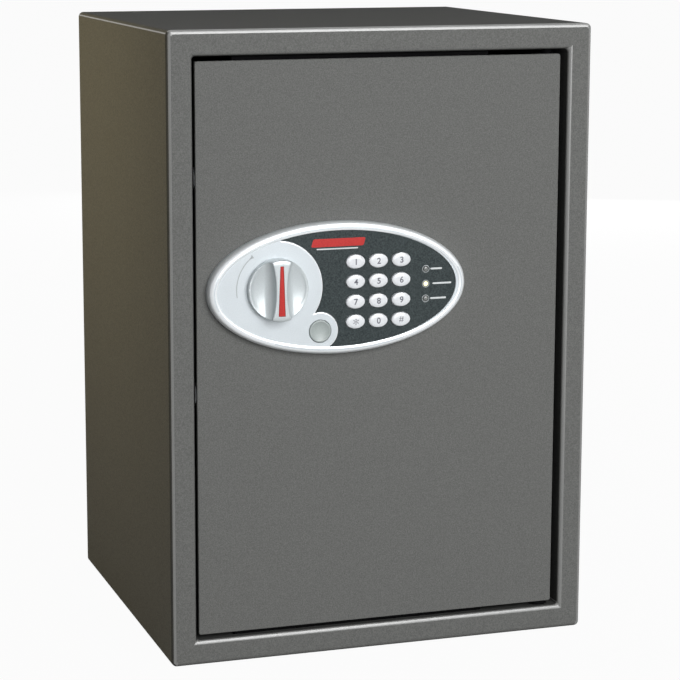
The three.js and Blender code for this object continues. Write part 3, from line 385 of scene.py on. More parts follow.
# each finish: its two shades, its gloss, and its flecks, clouds and bumps, finer the higher
looks = {
    "grey_paint": dict(
        dark=(0.114, 0.116, 0.112), light=(0.192, 0.195, 0.189), specular=0.005,
        roughness=(0.72, 0.82), flecks=1100, clouds=60, bumps=900, relief=0.35, depth=0.2 * mm,
    ),
    # the same paint, glossier and a little lighter, put on the bends that face the lamps: a painted
    # highlight
    "grey_paint_highlight": dict(
        dark=(0.13, 0.132, 0.128), light=(0.19, 0.192, 0.187), specular=1, roughness=(0.32, 0.38),
        flecks=1500, clouds=60, bumps=900, relief=0.15,
    ),
    # the same paint, darker, put on the jambs inside the opening and on the half of a corner bend
    # that is turned away: a painted shade
    "grey_paint_shade": dict(
        dark=(0.05, 0.051, 0.049), light=(0.085, 0.087, 0.084), specular=0.02,
        roughness=(0.72, 0.82), flecks=1100, clouds=60, bumps=900, relief=0.3, depth=0.2 * mm,
    ),
    "silver_plastic": dict(
        dark=(0.57, 0.62, 0.65), light=(0.66, 0.71, 0.745), metallic=0.1, **silverGrain,
    ),
    # a lighter, more metallic copy of the silver for the fascia's sloped faces: a painted highlight
    "silver_rim_highlight": dict(
        dark=(0.76, 0.79, 0.81), light=(0.85, 0.88, 0.9), metallic=0.35, **silverGrain,
    ),
    "silver_knob": dict(
        dark=(0.46, 0.5, 0.515), light=(0.54, 0.585, 0.6), metallic=0.25, **silverGrain,
    ),
    "slate_panel": dict(
        dark=(0.01, 0.018, 0.02), light=(0.056, 0.07, 0.072), specular=0.15, roughness=(0.42, 0.5),
        flecks=950, clouds=80, bumps=1600, relief=0.12,
    ),
    "pearl_key": dict(
        dark=(0.74, 0.77, 0.8), light=(0.82, 0.84, 0.87), roughness=(0.2, 0.28), coat=0.3,
        flecks=700, clouds=150, bumps=1200, relief=0.03,
    ),
    "red_inlay": dict(
        dark=(0.44, 0.014, 0.013), light=(0.55, 0.026, 0.022), specular=0.3, roughness=(0.3, 0.4),
        flecks=900, clouds=200, bumps=1500, relief=0.04,
    ),
    "cap_grey": dict(
        dark=(0.34, 0.38, 0.375), light=(0.42, 0.47, 0.46), specular=0.45, roughness=(0.4, 0.5),
        flecks=1500, clouds=120, bumps=1500, relief=0.08,
    ),
    "zinc_steel": dict(
        dark=(0.5, 0.52, 0.54), light=(0.66, 0.67, 0.68), metallic=1, roughness=(0.24, 0.38),
        flecks=500, clouds=120, bumps=1200, relief=0.06, stretch=(0.15, 1, 1),
    ),
    "dark_steel": dict(
        dark=(0.028, 0.03, 0.032), light=(0.055, 0.057, 0.06), metallic=0.2, specular=0.15,
        roughness=(0.55, 0.7), flecks=350, clouds=50, bumps=900, relief=0.1, stretch=(1, 1, 0.2),
    ),
    # near-black steel: blackened, and so dark that it also paints the shade of the gaps round the
    # door
    "black_steel_and_shade": dict(
        dark=(0.003, 0.003, 0.0035), light=(0.007, 0.007, 0.0075), specular=0.02,
        roughness=(0.7, 0.85), flecks=900, clouds=150, bumps=1500, relief=0.2,
    ),
    "lock_brass": dict(
        dark=(0.5, 0.35, 0.14), light=(0.62, 0.46, 0.2), metallic=1, roughness=(0.25, 0.35),
        flecks=500, clouds=120, bumps=1200, relief=0.05,
    ),
    "circuit_green": dict(
        dark=(0.01, 0.08, 0.035), light=(0.02, 0.14, 0.06), roughness=(0.3, 0.45), flecks=260,
        clouds=120, bumps=600, relief=0.15, depth=0.2 * mm, stretch=(1, 1, 0.25),
    ),
    "cable_grey": dict(
        dark=(0.28, 0.29, 0.3), light=(0.36, 0.37, 0.39), specular=0.3, roughness=(0.55, 0.7),
        flecks=800, clouds=200, bumps=700, relief=0.1,
    ),
    "coil_blue": dict(
        dark=(0.02, 0.03, 0.08), light=(0.04, 0.055, 0.13), specular=0.4, roughness=(0.4, 0.55),
        flecks=300, clouds=150, bumps=500, relief=0.3, depth=0.3 * mm, stretch=(0.3, 0.3, 2.5),
    ),
    "black_plastic": dict(
        dark=(0.018, 0.019, 0.02), light=(0.032, 0.033, 0.035), specular=0.45,
        roughness=(0.45, 0.6), flecks=900, clouds=150, bumps=1500, relief=0.2,
    ),
    "cell_wrap": dict(
        dark=(0.42, 0.2, 0.03), light=(0.55, 0.29, 0.06), metallic=0.5, roughness=(0.25, 0.35),
        flecks=300, clouds=100, bumps=900, relief=0.05, stretch=(0.2, 1, 1),
    ),
    "pale_ink": dict(dark=(0.6, 0.63, 0.64), light=(0.72, 0.75, 0.76), **inkGrain),
    "grey_ink": dict(dark=(0.36, 0.39, 0.4), light=(0.46, 0.49, 0.5), **inkGrain),
    "dark_ink": dict(dark=(0.09, 0.09, 0.12), light=(0.14, 0.14, 0.17), **inkGrain),
    "light_lens": dict(dark=(0.1, 0.11, 0.11), light=(0.2, 0.21, 0.2), **lensGrain),
    "light_lens_lit": dict(dark=(0.8, 0.75, 0.45), light=(1, 0.94, 0.62), glow=0.7, **lensGrain),
}
feltLook = dict(
    dark=(0.012, 0.0125, 0.014), light=(0.045, 0.046, 0.05), specular=0.2, roughness=0.95,
    sheen=0.3, stretches=((0.15, 1, 1), (1, 0.15, 1)), fibres=900, relief=0.7, depth=0.8 * mm,
)
finishes = {name: grainedMaterial(name, look) for name, look in looks.items()}
finishes["floor_felt"] = feltMaterial("floor_felt", feltLook)
print("finishes made")


# case
caseSheet = {"segments": 6, **inMm(
    sheet=2, frame=20, jamb=36, outerBend=4.2, openingBend=3, holeClearance=0.4,
)}
anchor = inMm(side=110, behindMiddle=40, rearHeight=400, radius=6, length=10)


def anchorHoles(y, z, way, corners=48):
    return [
        addRod("anchorHole", (side * anchor["side"], y, z), way, anchor["length"],
               anchor["radius"], corners)
        for side in sides
    ]


def caseHoles(low, high):
    frameWidth, clearance = caseSheet["frame"], caseSheet["holeClearance"]
    holes = []
    boltReach = 5 * mm
    for node in ("upper_bolt", "lower_bolt"):
        boltLow, boltHigh, middle = spanOf(node)
        foot = (low.x + frameWidth + boltReach, middle.y, middle.z)
        radius = (boltHigh.z - boltLow.z) / 2 + clearance
        holes.append(addRod("boltHole", foot, "left", 2 * boltReach, radius, 48))
    pinReach = 4 * mm
    pinLow, pinHigh, middle = spanOf("upper_hinge_pin")
    radius = (pinHigh.x - pinLow.x) / 2 + clearance
    for edge in (low.z + frameWidth, high.z - frameWidth):
        foot = (middle.x, middle.y, edge - pinReach)
        holes.append(addRod("pinHole", foot, "up", 2 * pinReach, radius, 32))
    return holes + anchorHoles(anchor["behindMiddle"], low.z - 4 * mm, "up")


def makeShell():
    low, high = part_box("body_shell")
    shell = addBox("shell_sheet", low, high)
    startEdit(shell)
    pickFacing(shell, "back")
    bpy.ops.mesh.delete(type="FACE")
    pickFacing(shell, "front")
    bpy.ops.mesh.inset(thickness=caseSheet["frame"], depth=0)
    extrude((0, caseSheet["jamb"], 0))
    bpy.ops.mesh.delete(type="FACE")
    endEdit()

    def onOutside(place):
        return near(abs(place.x), high.x) or near(place.z, low.z) or near(place.z, high.z)

    def outerEdge(a, b):
        alongFront = bothNear(a.y, b.y, low.y) and onOutside(a) and onOutside(b)
        return (alongDepth(a, b) and onOutside(a)) or alongFront

    def openingEdge(a, b):
        alongFront = bothNear(a.y, b.y, low.y) and not onOutside(a) and not onOutside(b)
        return (alongDepth(a, b) and not onOutside(a)) or alongFront

    roundEdges(shell, openingEdge, caseSheet["openingBend"], caseSheet["segments"])
    roundEdges(shell, outerEdge, caseSheet["outerBend"], caseSheet["segments"])
    thicken(shell, caseSheet["sheet"])
    carve(shell, *caseHoles(low, high))
    shadeSmooth(shell, 32)
    handOver(shell, "case", "grey_paint", "body_shell")
    finishShell(shell, low, high)


# a bend that is turned to the light takes a glossier, lighter copy of the paint, a painted
# highlight, and the jambs and the turned-away half of a corner bend take a darker copy, a painted
# shade
def finishShell(shell, low, high):
    shell.data.materials.append(finishes["grey_paint_highlight"])
    shell.data.materials.append(finishes["grey_paint_shade"])
    # the second finish is the painted highlight, the third the painted shade
    bend, paintedShade = 1, 2
    upright, leaning, flat, steep = 0.1, 0.12, 0.99, 0.75
    inset = caseSheet["frame"] - 0.1 * mm
    for face in shell.data.polygons:
        middle, normal = face.center, face.normal
        inOpening = abs(middle.x) < high.x - inset and inset < middle.z < high.z - inset
        if inOpening and middle.y < low.y + caseSheet["jamb"] and abs(normal.y) < upright:
            face.material_index = paintedShade
        onFrontBend = -flat < normal.y < -leaning
        rising = normal.z > leaning and normal.z > abs(normal.x)
        towardLight = rising or (normal.x < -leaning and middle.x > 0)
        turned = normal.y > -steep
        onCorner = abs(middle.x) > high.x - caseSheet["outerBend"]
        if onFrontBend and (towardLight or (onCorner and not turned)):
            face.material_index = bend
        elif onFrontBend and turned:
            face.material_index = paintedShade
        # an upward-facing bend along the top of a side also takes the painted highlight
        elif abs(normal.y) < leaning and 0.3 < normal.z < 0.6:
            face.material_index = bend


# a sheet folded forward all round, as the rear panel and the door's inner pan are
def makeTray(name, node, sheet, bend):
    low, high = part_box(node)
    tray = addBox(name, low, high)
    startEdit(tray)
    pickFacing(tray, "front")
    bpy.ops.mesh.delete(type="FACE")
    endEdit()
    roundEdges(tray, lambda a, b: not bothNear(a.y, b.y, low.y), bend, 5)
    thicken(tray, sheet)
    return tray


def makeRearPanel():
    panel = makeTray("rear_sheet", "rear_panel", caseSheet["sheet"], 3 * mm)
    carve(panel, *anchorHoles(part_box("rear_panel")[1].y - anchor["length"] / 2,
                              anchor["rearHeight"], "back"))
    shadeSmooth(panel, 32)
    handOver(panel, "case", "grey_paint", "rear_panel")


shelfSheet = inMm(sheet=1.5, frontFold=13.5, frontBend=2.5, rearBend=1, notch=9.2)


def makeShelf():
    low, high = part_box("shelf")
    sheet, notch = shelfSheet["sheet"], shelfSheet["notch"]
    top = low.z + shelfSheet["frontFold"]
    rear = high.y - sheet
    shelf = addForm(
        "shelf_sheet", bpy.ops.mesh.primitive_plane_add, (high.x - low.x, rear - low.y, 1),
        size=1, location=(0, (low.y + rear) / 2, top),
    )
    startEdit(shelf)
    for x in (low.x + notch, high.x - notch):
        selectAll()
        bpy.ops.mesh.bisect(plane_co=(x, 0, 0), plane_no=(1, 0, 0))

    def betweenNotches(a, b):
        return bothNear(a.y, b.y, low.y) and abs(a.x + b.x) < mm

    pickEdges(shelf, betweenNotches)
    extrude((0, 0, -shelfSheet["frontFold"]))
    pickEdges(shelf, lambda a, b: bothNear(a.y, b.y, rear) and near(a.z, b.z))
    extrude((0, 0, high.z - top))
    faceOutward()
    endEdit()
    if shelf.data.polygons[0].normal.z < 0:
        shelf.data.flip_normals()
    roundEdges(
        shelf, lambda a, b: betweenNotches(a, b) and bothNear(a.z, b.z, top),
        shelfSheet["frontBend"], 5,
    )
    roundEdges(
        shelf, lambda a, b: bothNear(a.y, b.y, rear) and bothNear(a.z, b.z, top),
        shelfSheet["rearBend"], 4,
    )
    thicken(shelf, sheet)
    shadeSmooth(shelf, 32)
    handOver(shelf, "shelf", "grey_paint", "shelf")


feltMat = {"columns": 84, "rows": 64, **inMm(fromTop=0.4, wave=0.5, waveLength=30)}


def makeMat():
    low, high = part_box("floor_mat")
    wide, deep = high.x - low.x, high.y - low.y
    mat = addForm(
        "mat_felt", bpy.ops.mesh.primitive_grid_add, (wide, deep, 1), size=1,
        x_subdivisions=feltMat["columns"], y_subdivisions=feltMat["rows"],
        location=(0, (low.y + high.y) / 2, high.z - feltMat["fromTop"]),
    )
    modify(mat, "SOLIDIFY", thickness=high.z - low.z - feltMat["wave"], offset=-1)
    clouds = bpy.data.textures.new("pileClouds", "CLOUDS")
    clouds.noise_scale = feltMat["waveLength"]
    modify(mat, "DISPLACE", texture=clouds, strength=feltMat["wave"], mid_level=0.5,
           direction="Z", texture_coords="LOCAL")
    carve(mat, *anchorHoles(anchor["behindMiddle"], 0, "up", 32))
    shadeSmooth(mat, 40)
    handOver(mat, "case", "floor_felt", "floor_mat")


# a blackened strip behind the door's edge, above and below, near-black so that it also paints the
# shade of the gap in front of it
def makeStops():
    for node, name in (("upper_door_stop", "stop_upper"), ("lower_door_stop", "stop_lower")):
        low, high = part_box(node)
        stop = addBox(name, low, high)
        roundEdges(stop, lambda a, b: bothNear(a.y, b.y, low.y), 1.2 * mm)
        shadeSmooth(stop, 40)
        handOver(stop, "case", "dark_steel", node, finish="black_steel_and_shade")


makeShell()
makeStops()
makeRearPanel()
makeShelf()
makeMat()
print("case made")


# places on the door's front that its holes and the fascia share
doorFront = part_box("door_plate")[0].y
bezelLow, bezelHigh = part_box("fascia_bezel")
fasciaCentre = Vector(((bezelLow.x + bezelHigh.x) / 2, doorFront, (bezelLow.z + bezelHigh.z) / 2))
knobPlace = Vector((-90.5 * mm, doorFront, 300 * mm))
lobePlace = Vector((-55.3 * mm, doorFront, 264.6 * mm))
cablePlace = Vector((30.55 * mm, doorFront, fasciaCentre.z))
bossPlaces = [fasciaCentre + Vector((side * 91.5 * mm, 0, 0)) for side in sides]


# door
doorPlate = inMm(
    sheet=4, corner=1.5, edge=0.7, post=32.5, postRadius=4, screwHole=2.2, screwDepth=12,
    spindleHole=5.4, lockHole=9.4, cableHole=6, bossHole=1.9,
)
screwPlaces = [middleOf(f"pan_screw_{number}") for number in range(1, 5)]


def makeDoor():
    low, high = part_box("door_plate")
    inside = low.y + doorPlate["sheet"]
    door = addBox("door_face", low, (high.x, inside, high.z))
    roundEdges(door, alongDepth, doorPlate["corner"])
    roundEdges(door, lambda a, b: near(a.y, b.y), doorPlate["edge"])
    posts = [
        addRod("post", (place.x, inside - mm, place.z), "back", doorPlate["post"] + mm,
               doorPlate["postRadius"], 32)
        for place in screwPlaces
    ]
    weld(door, *posts)
    postEnd = inside + doorPlate["post"]
    holes = [
        addRod("screwHole", (place.x, postEnd + mm, place.z), "front", doorPlate["screwDepth"],
               doorPlate["screwHole"], 24)
        for place in screwPlaces
    ]
    plateHoles = [
        (knobPlace, doorPlate["spindleHole"]), (lobePlace, doorPlate["lockHole"]),
        (cablePlace, doorPlate["cableHole"]),
        *[(place, doorPlate["bossHole"]) for place in bossPlaces],
    ]
    for place, radius in plateHoles:
        foot = (place.x, inside + mm, place.z)
        holes.append(addRod("plateHole", foot, "front", doorPlate["sheet"] + 2 * mm, radius, 32))
    carve(door, *holes)
    shadeSmooth(door, 32)
    handOver(door, "door", "grey_paint", "door_plate")


panSheet = inMm(
    sheet=1.2, bend=2.2, reach=3, screwHole=2.2, boltHole=9.8, resetHole=4.1, batteryWall=1.5,
)


def makePan():
    pan = makeTray("pan_sheet", "inner_pan", panSheet["sheet"], panSheet["bend"])
    low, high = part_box("inner_pan")
    reach, wall = panSheet["reach"], panSheet["batteryWall"]

    def rearHole(place, radius, corners):
        return addRod("rearHole", (place.x, high.y - reach, place.z), "back", 2 * reach, radius,
                      corners)

    tools = [rearHole(place, panSheet["screwHole"], 24) for place in screwPlaces]
    for node in ("upper_bolt", "lower_bolt"):
        middle = middleOf(node)
        tools.append(addRod("boltHole", (low.x + reach, middle.y, middle.z), "left", 2 * reach,
                            panSheet["boltHole"], 48))
    boxLow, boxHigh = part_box("battery_box")
    tools.append(addBox(
        "batteryWindow",
        (boxLow.x + wall, high.y - reach, boxLow.z + wall),
        (boxHigh.x - wall, high.y + reach, boxHigh.z - wall),
    ))
    tools.append(rearHole(middleOf("reset_button"), panSheet["resetHole"], 32))
    carve(pan, *tools)
    shadeSmooth(pan, 32)
    handOver(pan, "door", "grey_paint", "inner_pan")


panScrew = inMm(radius=3.5, shank=1.8, point=0.3, head=2.2, slot=0.6)


def makePanScrews():
    low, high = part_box("pan_screw_1")
    under = high.y - panScrew["head"]
    tip = low.y
    shank, radius, slot = panScrew["shank"], panScrew["radius"], panScrew["slot"]
    place = screwPlaces[0]
    first = drawRound("screw_1", (place.x, 0, place.z), "back", [
        (tip, panScrew["point"]), (tip + shank, shank), (under, shank), (under, radius),
        (under + 0.9 * mm, radius), (under + 1.6 * mm, radius * 0.86), (high.y, radius * 0.55),
    ], 40)
    carve(first, addBox(
        "slot",
        (place.x - 5 * mm, under + 1.3 * mm, place.z - slot / 2),
        (place.x + 5 * mm, high.y + mm, place.z + slot / 2),
    ))
    shadeSmooth(first, 40)
    screws = [first]
    for number in range(2, 5):
        screws.append(copyTo(first, f"screw_{number}", screwPlaces[number - 1] - place))
    for number, screw in enumerate(screws, 1):
        handOver(screw, "door", "zinc_steel", f"pan_screw_{number}")


def makeHingePins():
    for node, way, name in (("upper_hinge_pin", "up", "pin_upper"),
                            ("lower_hinge_pin", "down", "pin_lower")):
        low, high, middle = spanOf(node)
        radius = (high.x - low.x) / 2
        length = high.z - low.z
        foot = (middle.x, middle.y, low.z if way == "up" else high.z)
        pin = drawRound(name, foot, way, [
            (0, radius), (length - mm, radius), (length - 0.3 * mm, radius - 0.3 * mm),
            (length, radius - mm),
        ], 48)
        shadeSmooth(pin, 30)
        # the pin takes the near-black steel, which also paints the shade of the gap it shows
        # through
        handOver(pin, "door", "dark_steel", node, finish="black_steel_and_shade")


hingeWasher = inMm(bore=4.4, edge=0.4)


def makeWasher():
    low, high, middle = spanOf("hinge_washer")
    radius = (high.x - low.x) / 2
    thick = high.z - low.z
    edge = hingeWasher["edge"]
    washer = drawRound("washer_lower", (middle.x, middle.y, low.z), "up", [
        (0, radius - edge), (edge, radius), (thick - edge, radius), (thick, radius - edge),
    ], 48)
    carve(washer, addRod("bore", (middle.x, middle.y, low.z - mm), "up", thick + 2 * mm,
                         hingeWasher["bore"], 40))
    shadeSmooth(washer, 50)
    # the washer takes the near-black steel, which also paints the shade it sits in
    handOver(washer, "case", "dark_steel", "hinge_washer", finish="black_steel_and_shade")


def makeBolts():
    low, high, middle = spanOf("upper_bolt")
    radius = (high.z - low.z) / 2
    length = high.x - low.x
    upper = drawRound("bolt_bar_upper", (high.x, middle.y, middle.z), "left", [
        (0, radius), (length - 1.5 * mm, radius), (length - 0.6 * mm, radius - 0.45 * mm),
        (length - 0.1 * mm, radius - 1.3 * mm), (length, radius - 2 * mm),
    ])
    shadeSmooth(upper, 30)
    lower = copyTo(upper, "bolt_bar_lower", (0, 0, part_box("lower_bolt")[0].z - low.z))
    handOver(upper, "bolts", "zinc_steel", "upper_bolt")
    handOver(lower, "bolts", "zinc_steel", "lower_bolt")


batteryCover = {"grips": 5, **inMm(
    plate=1.8, corner=2.5, edge=0.5, gripFromTop=9, gripStep=2.2, gripHalf=9, gripDepth=0.6,
    ribInset=11, ribFromEdge=3.3,
)}


def makeBatteryCover():
    low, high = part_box("battery_cover")
    face = high.y - batteryCover["plate"]
    cover = addBox("cover_battery", (low.x, face, low.z), high)
    roundEdges(cover, alongDepth, batteryCover["corner"], 4)
    roundEdges(cover, lambda a, b: bothNear(a.y, b.y, high.y), batteryCover["edge"])
    middleX, half = (low.x + high.x) / 2, batteryCover["gripHalf"]
    grips = []
    for number in range(batteryCover["grips"]):
        height = high.z - batteryCover["gripFromTop"] - number * batteryCover["gripStep"]
        grips.append(addBox("grip", (middleX - half, high.y - batteryCover["gripDepth"], height),
                            (middleX + half, high.y + mm, height + mm)))
    carve(cover, *grips)
    inset, fromEdge = batteryCover["ribInset"], batteryCover["ribFromEdge"]
    ribs = [
        addBox("rib", (low.x + inset, low.y, z), (high.x - inset, face + 0.3 * mm, z + mm))
        for z in (low.z + fromEdge, high.z - fromEdge - mm)
    ]
    weld(cover, *ribs)
    shadeSmooth(cover, 32)
    handOver(cover, "battery_cover", "black_plastic", "battery_cover")


resetButton = inMm(cap=3.7, stem=2.2, shoulder=-115.5, flange=1.4)


def makeResetButton():
    low, high, middle = spanOf("reset_button")
    widest = high.x - middle.x
    radius, stem, shoulder = resetButton["cap"], resetButton["stem"], resetButton["shoulder"]
    underFlange = shoulder - resetButton["flange"]
    button = drawRound("button_reset", (middle.x, 0, middle.z), "back", [
        (low.y, stem), (underFlange, stem), (underFlange, widest),
        (shoulder, widest), (shoulder, radius), (high.y - 0.9 * mm, radius),
        (high.y - 0.3 * mm, radius - 0.3 * mm), (high.y, radius - 0.9 * mm),
    ], 40)
    shadeSmooth(button)
    handOver(button, "reset_button", "red_inlay", "reset_button")


makeDoor()
makePan()
makePanScrews()
makeHingePins()
makeWasher()
makeBolts()
makeBatteryCover()
makeResetButton()
print("door and bolts made")


# fascia, with heights measured out from the front of the door
fasciaSize = {
    "halfWidth": (bezelHigh.x - bezelLow.x) / 2, "halfHeight": (bezelHigh.z - bezelLow.z) / 2,
    **inMm(
        wall=2.2, rim=6.7, rimAtEnds=2.2, crestFromEdge=4.4, crest=10.3, shoulder=3.4, back=0.3,
        plateau=9.3, pocketFloor=7.3, pocketGap=0.25, inside=5.8, insideRound=1.5, disc=37.5,
        lobe=15, lip=0.9, bossRadius=3.5, boss=6.5, spindleHole=5.4, capHole=9.3,
    ),
}
panelSheet = {"keyHole": (8.15 * mm, 5.9 * mm), **inMm(back=7.6, top=8.6, gap=0.3, lightHole=2.4)}
lightX = 32.7 * mm
lightHeights = [309.55 * mm, 297.7 * mm, 285.85 * mm]
keyPlaces = {
    name: middleOf(f"key_{name}")
    for name in ("1", "2", "3", "4", "5", "6", "7", "8", "9", "star", "0", "hash")
}


def ovalRing(height, inset):
    return (height, fasciaSize["halfWidth"] - inset, fasciaSize["halfHeight"] - inset)


def rimRings():
    crest, shoulder = fasciaSize["crest"], fasciaSize["shoulder"]
    toCrest, rim, plateau = fasciaSize["crestFromEdge"], fasciaSize["rim"], fasciaSize["plateau"]
    rings = [ovalRing(fasciaSize["back"], 0)]
    outerSteps, innerSteps = 9, 6
    for step in range(outerSteps + 1):
        angle = quarter * step / outerSteps
        rings.append(ovalRing(
            shoulder + (crest - shoulder) * math.sin(angle), toCrest * (1 - math.cos(angle)),
        ))
    for step in range(1, innerSteps + 1):
        angle = quarter * step / innerSteps
        rings.append(ovalRing(
            plateau + (crest - plateau) * math.cos(angle),
            toCrest + (rim - toCrest) * math.sin(angle),
        ))
    return rings


# the dark area's outline as a solid, for the pocket and for the panel that lies in it
def darkArea(name, low, high, shrink):
    inset = fasciaSize["rim"] - fasciaSize["pocketGap"] + shrink
    wide = fasciaSize["halfWidth"] - inset - fasciaSize["rimAtEnds"]
    tall = fasciaSize["halfHeight"] - inset
    area = drawForm(name, fasciaCentre, "front", [(low, wide, tall), (high, wide, tall)], 160)
    depth = high - low + 2 * mm
    below = low - mm
    behind = Vector((0, -below, 0))
    disc = addRod("disc", knobPlace + behind, "front", depth, fasciaSize["disc"] + shrink, 128)
    lobe = addRod("lobe", lobePlace + behind, "front", depth, fasciaSize["lobe"] + shrink, 96)
    far = 200 * mm
    front, back = doorFront - high - mm, doorFront - below
    leftOfKnob = addBox("leftOfKnob", (-far, front, 0), (knobPlace.x + shrink, back, far * 3))
    underLobe = addBox("underLobe", (-far, front, 0),
                       (lobePlace.x + shrink, back, lobePlace.z + fasciaSize["lobe"] / 2))
    carve(area, disc, lobe, leftOfKnob, underLobe)
    return area


def keypadTools(low, high):
    wide, tall = panelSheet["keyHole"]
    tools = [
        drawForm("keyHole", (place.x, doorFront, place.z), "front",
                 [(low, wide, tall), (high, wide, tall)], 48)
        for place in keyPlaces.values()
    ]
    radius = panelSheet["lightHole"]
    for height in lightHeights:
        tools.append(drawRound("lightHole", (lightX, doorFront, height), "front",
                               [(low, radius), (high, radius)], 32))
    return joinPieces(*tools)


def makeFascia():
    bezel = drawForm("fascia_moulding", fasciaCentre, "front", rimRings(), 160)
    wall, inside, soft = fasciaSize["wall"], fasciaSize["inside"], fasciaSize["insideRound"]
    cavity = drawForm("cavity", fasciaCentre, "front", [
        ovalRing(-mm, wall), ovalRing(inside - soft, wall), ovalRing(inside, wall + soft),
    ], 96)
    carve(bezel, cavity, darkArea("pocket", fasciaSize["pocketFloor"], 14 * mm, 0))

    def onLip(a, b):
        if not bothNear(a.y, b.y, doorFront - fasciaSize["plateau"]):
            return False
        for centre, radius in ((knobPlace, fasciaSize["disc"]), (lobePlace, fasciaSize["lobe"])):
            ends = [math.hypot(p.x - centre.x, p.z - centre.z) for p in (a, b)]
            if near(ends[0], radius, 0.1 * mm) and near(ends[1], radius, 0.1 * mm):
                return True
        return False

    startEdit(bezel)
    pickEdges(bezel, onLip)
    bpy.ops.mesh.bevel(offset=fasciaSize["lip"], segments=3, affect="EDGES", clamp_overlap=False)
    endEdit()
    carve(
        bezel,
        keypadTools(0, 12 * mm),
        addRod("spindleHole", knobPlace, "front", 14 * mm, fasciaSize["spindleHole"], 40),
        addRod("capHole", lobePlace, "front", 14 * mm, fasciaSize["capHole"], 64),
    )
    bosses = [
        addRod("boss", place - Vector((0, fasciaSize["back"], 0)), "front", fasciaSize["boss"],
               fasciaSize["bossRadius"], 32)
        for place in bossPlaces
    ]
    weld(bezel, *bosses)
    shadeSmooth(bezel)
    handOver(bezel, "door", "silver_plastic", "fascia_bezel")
    # the fascia's sloped faces, its rim, walls and lips, take the lighter copy of the silver: a
    # painted highlight
    bezel.data.materials.append(finishes["silver_rim_highlight"])
    for face in bezel.data.polygons:
        if -0.99 < face.normal.y < -0.02:
            face.material_index = 1


def makePanel():
    panel = darkArea("panel_label", panelSheet["back"], panelSheet["top"], panelSheet["gap"])
    carve(panel, keypadTools(6 * mm, 10 * mm))
    shadeSmooth(panel)
    handOver(panel, "door", "slate_panel", "keypad_panel")


keyCap = {"starGrowth": 1.7, **inMm(
    halfWidth=7.75, halfHeight=5.5, flange=1, back=4.5, shoulder=5.5, wallTop=9.8, top=11.2,
    crown=3.4, numeral=6.6, numeralSheet=0.05, bold=0.12,
)}


def makeKeys():
    wide, high = keyCap["halfWidth"], keyCap["halfHeight"]
    flange, shoulder = keyCap["flange"], keyCap["shoulder"]
    rings = [
        (keyCap["back"], wide + flange, high + flange), (shoulder, wide + flange, high + flange),
        (shoulder, wide, high),
    ]
    steps = 7
    for step in range(steps + 1):
        angle = quarter * step / steps
        inset = keyCap["crown"] * (1 - math.cos(angle))
        rise = (keyCap["top"] - keyCap["wallTop"]) * math.sin(angle)
        rings.append((keyCap["wallTop"] + rise, wide - inset, high - inset))
    firstPlace = keyPlaces["1"]
    first = drawForm("keycap_1", (firstPlace.x, doorFront, firstPlace.z), "front", rings, 56)
    shadeSmooth(first, 40)
    caps = {"1": first}
    for name in list(keyPlaces)[1:]:
        caps[name] = copyTo(first, f"keycap_{name}", keyPlaces[name] - firstPlace)
    for name, cap in caps.items():
        handOver(cap, f"key_{name}", "pearl_key", f"key_{name}")
        makeNumeral(name, keyPlaces[name])


def makeNumeral(name, place):
    bpy.ops.object.select_all(action="DESELECT")
    bpy.ops.object.text_add(location=(0, 0, 0))
    numeral = bpy.context.active_object
    numeral.data.body = {"star": "*", "hash": "#"}.get(name, name)
    numeral.data.size = keyCap["numeral"] * (keyCap["starGrowth"] if name == "star" else 1)
    numeral.data.align_x = "CENTER"
    numeral.data.align_y = "CENTER"
    numeral.data.extrude = keyCap["numeralSheet"] / 2
    if name.isdigit():
        numeral.data.offset = keyCap["bold"]
    bpy.ops.object.convert(target="MESH")
    numeral.rotation_euler = ways["front"][1]
    settle(numeral, f"numeral_{name}")
    across = [vertex.co.x for vertex in numeral.data.vertices]
    upright = [vertex.co.z for vertex in numeral.data.vertices]
    choose(numeral)
    bpy.ops.transform.translate(value=(
        place.x - (min(across) + max(across)) / 2,
        doorFront - keyCap["top"] - keyCap["numeralSheet"] / 2,
        place.z - (min(upright) + max(upright)) / 2,
    ))
    settle(numeral, f"numeral_{name}")
    startEdit(numeral)
    joinPoints()
    faceOutward()
    endEdit()
    handOver(numeral, f"key_{name}", "slate_panel", finish="dark_ink")


statusLight = {"dome": [(3.3, 2), (8.7, 2), (9.2, 1.8), (9.5, 1.3), (9.6, 0.6)], "lit": 1, **inMm(
    bar=3.6, ringRadius=2.75, ringWire=0.3,
)}


# one clear moulding with three domes, of which the middle one is lit, and a ring round each
def makeLights():
    profile = [(height * mm, radius * mm) for height, radius in statusLight["dome"]]
    domes = [
        drawRound("dome", (lightX, doorFront, height), "front", profile, 32)
        for height in lightHeights
    ]
    low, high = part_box("status_lights")
    bar = addBox("bar", (low.x, doorFront - statusLight["bar"], low.z), high)
    moulding = joinPieces(*domes)
    moulding.name = "light_lenses"
    weld(moulding, bar)
    shadeSmooth(moulding, 40)
    handOver(moulding, "door", "light_lens", "status_lights")
    moulding.data.materials.append(finishes["light_lens_lit"])
    for face in moulding.data.polygons:
        middle = face.center
        onLit = near(middle.z, lightHeights[statusLight["lit"]], 2.5 * mm)
        if onLit and middle.y < doorFront - 7 * mm:
            face.material_index = 1
    rings = [
        addForm(
            "ring", bpy.ops.mesh.primitive_torus_add, (1, 1, 1), rotation=ways["front"][1],
            major_radius=statusLight["ringRadius"], minor_radius=statusLight["ringWire"],
            major_segments=40, minor_segments=10,
            location=(lightX, doorFront - panelSheet["top"], height),
        )
        for height in lightHeights
    ]
    bezels = joinPieces(*rings)
    bezels.name = "light_rings"
    shadeSmooth(bezels, 60)
    handOver(bezels, "door", "silver_plastic", finish="grey_ink")


printSheet = 0.05 * mm
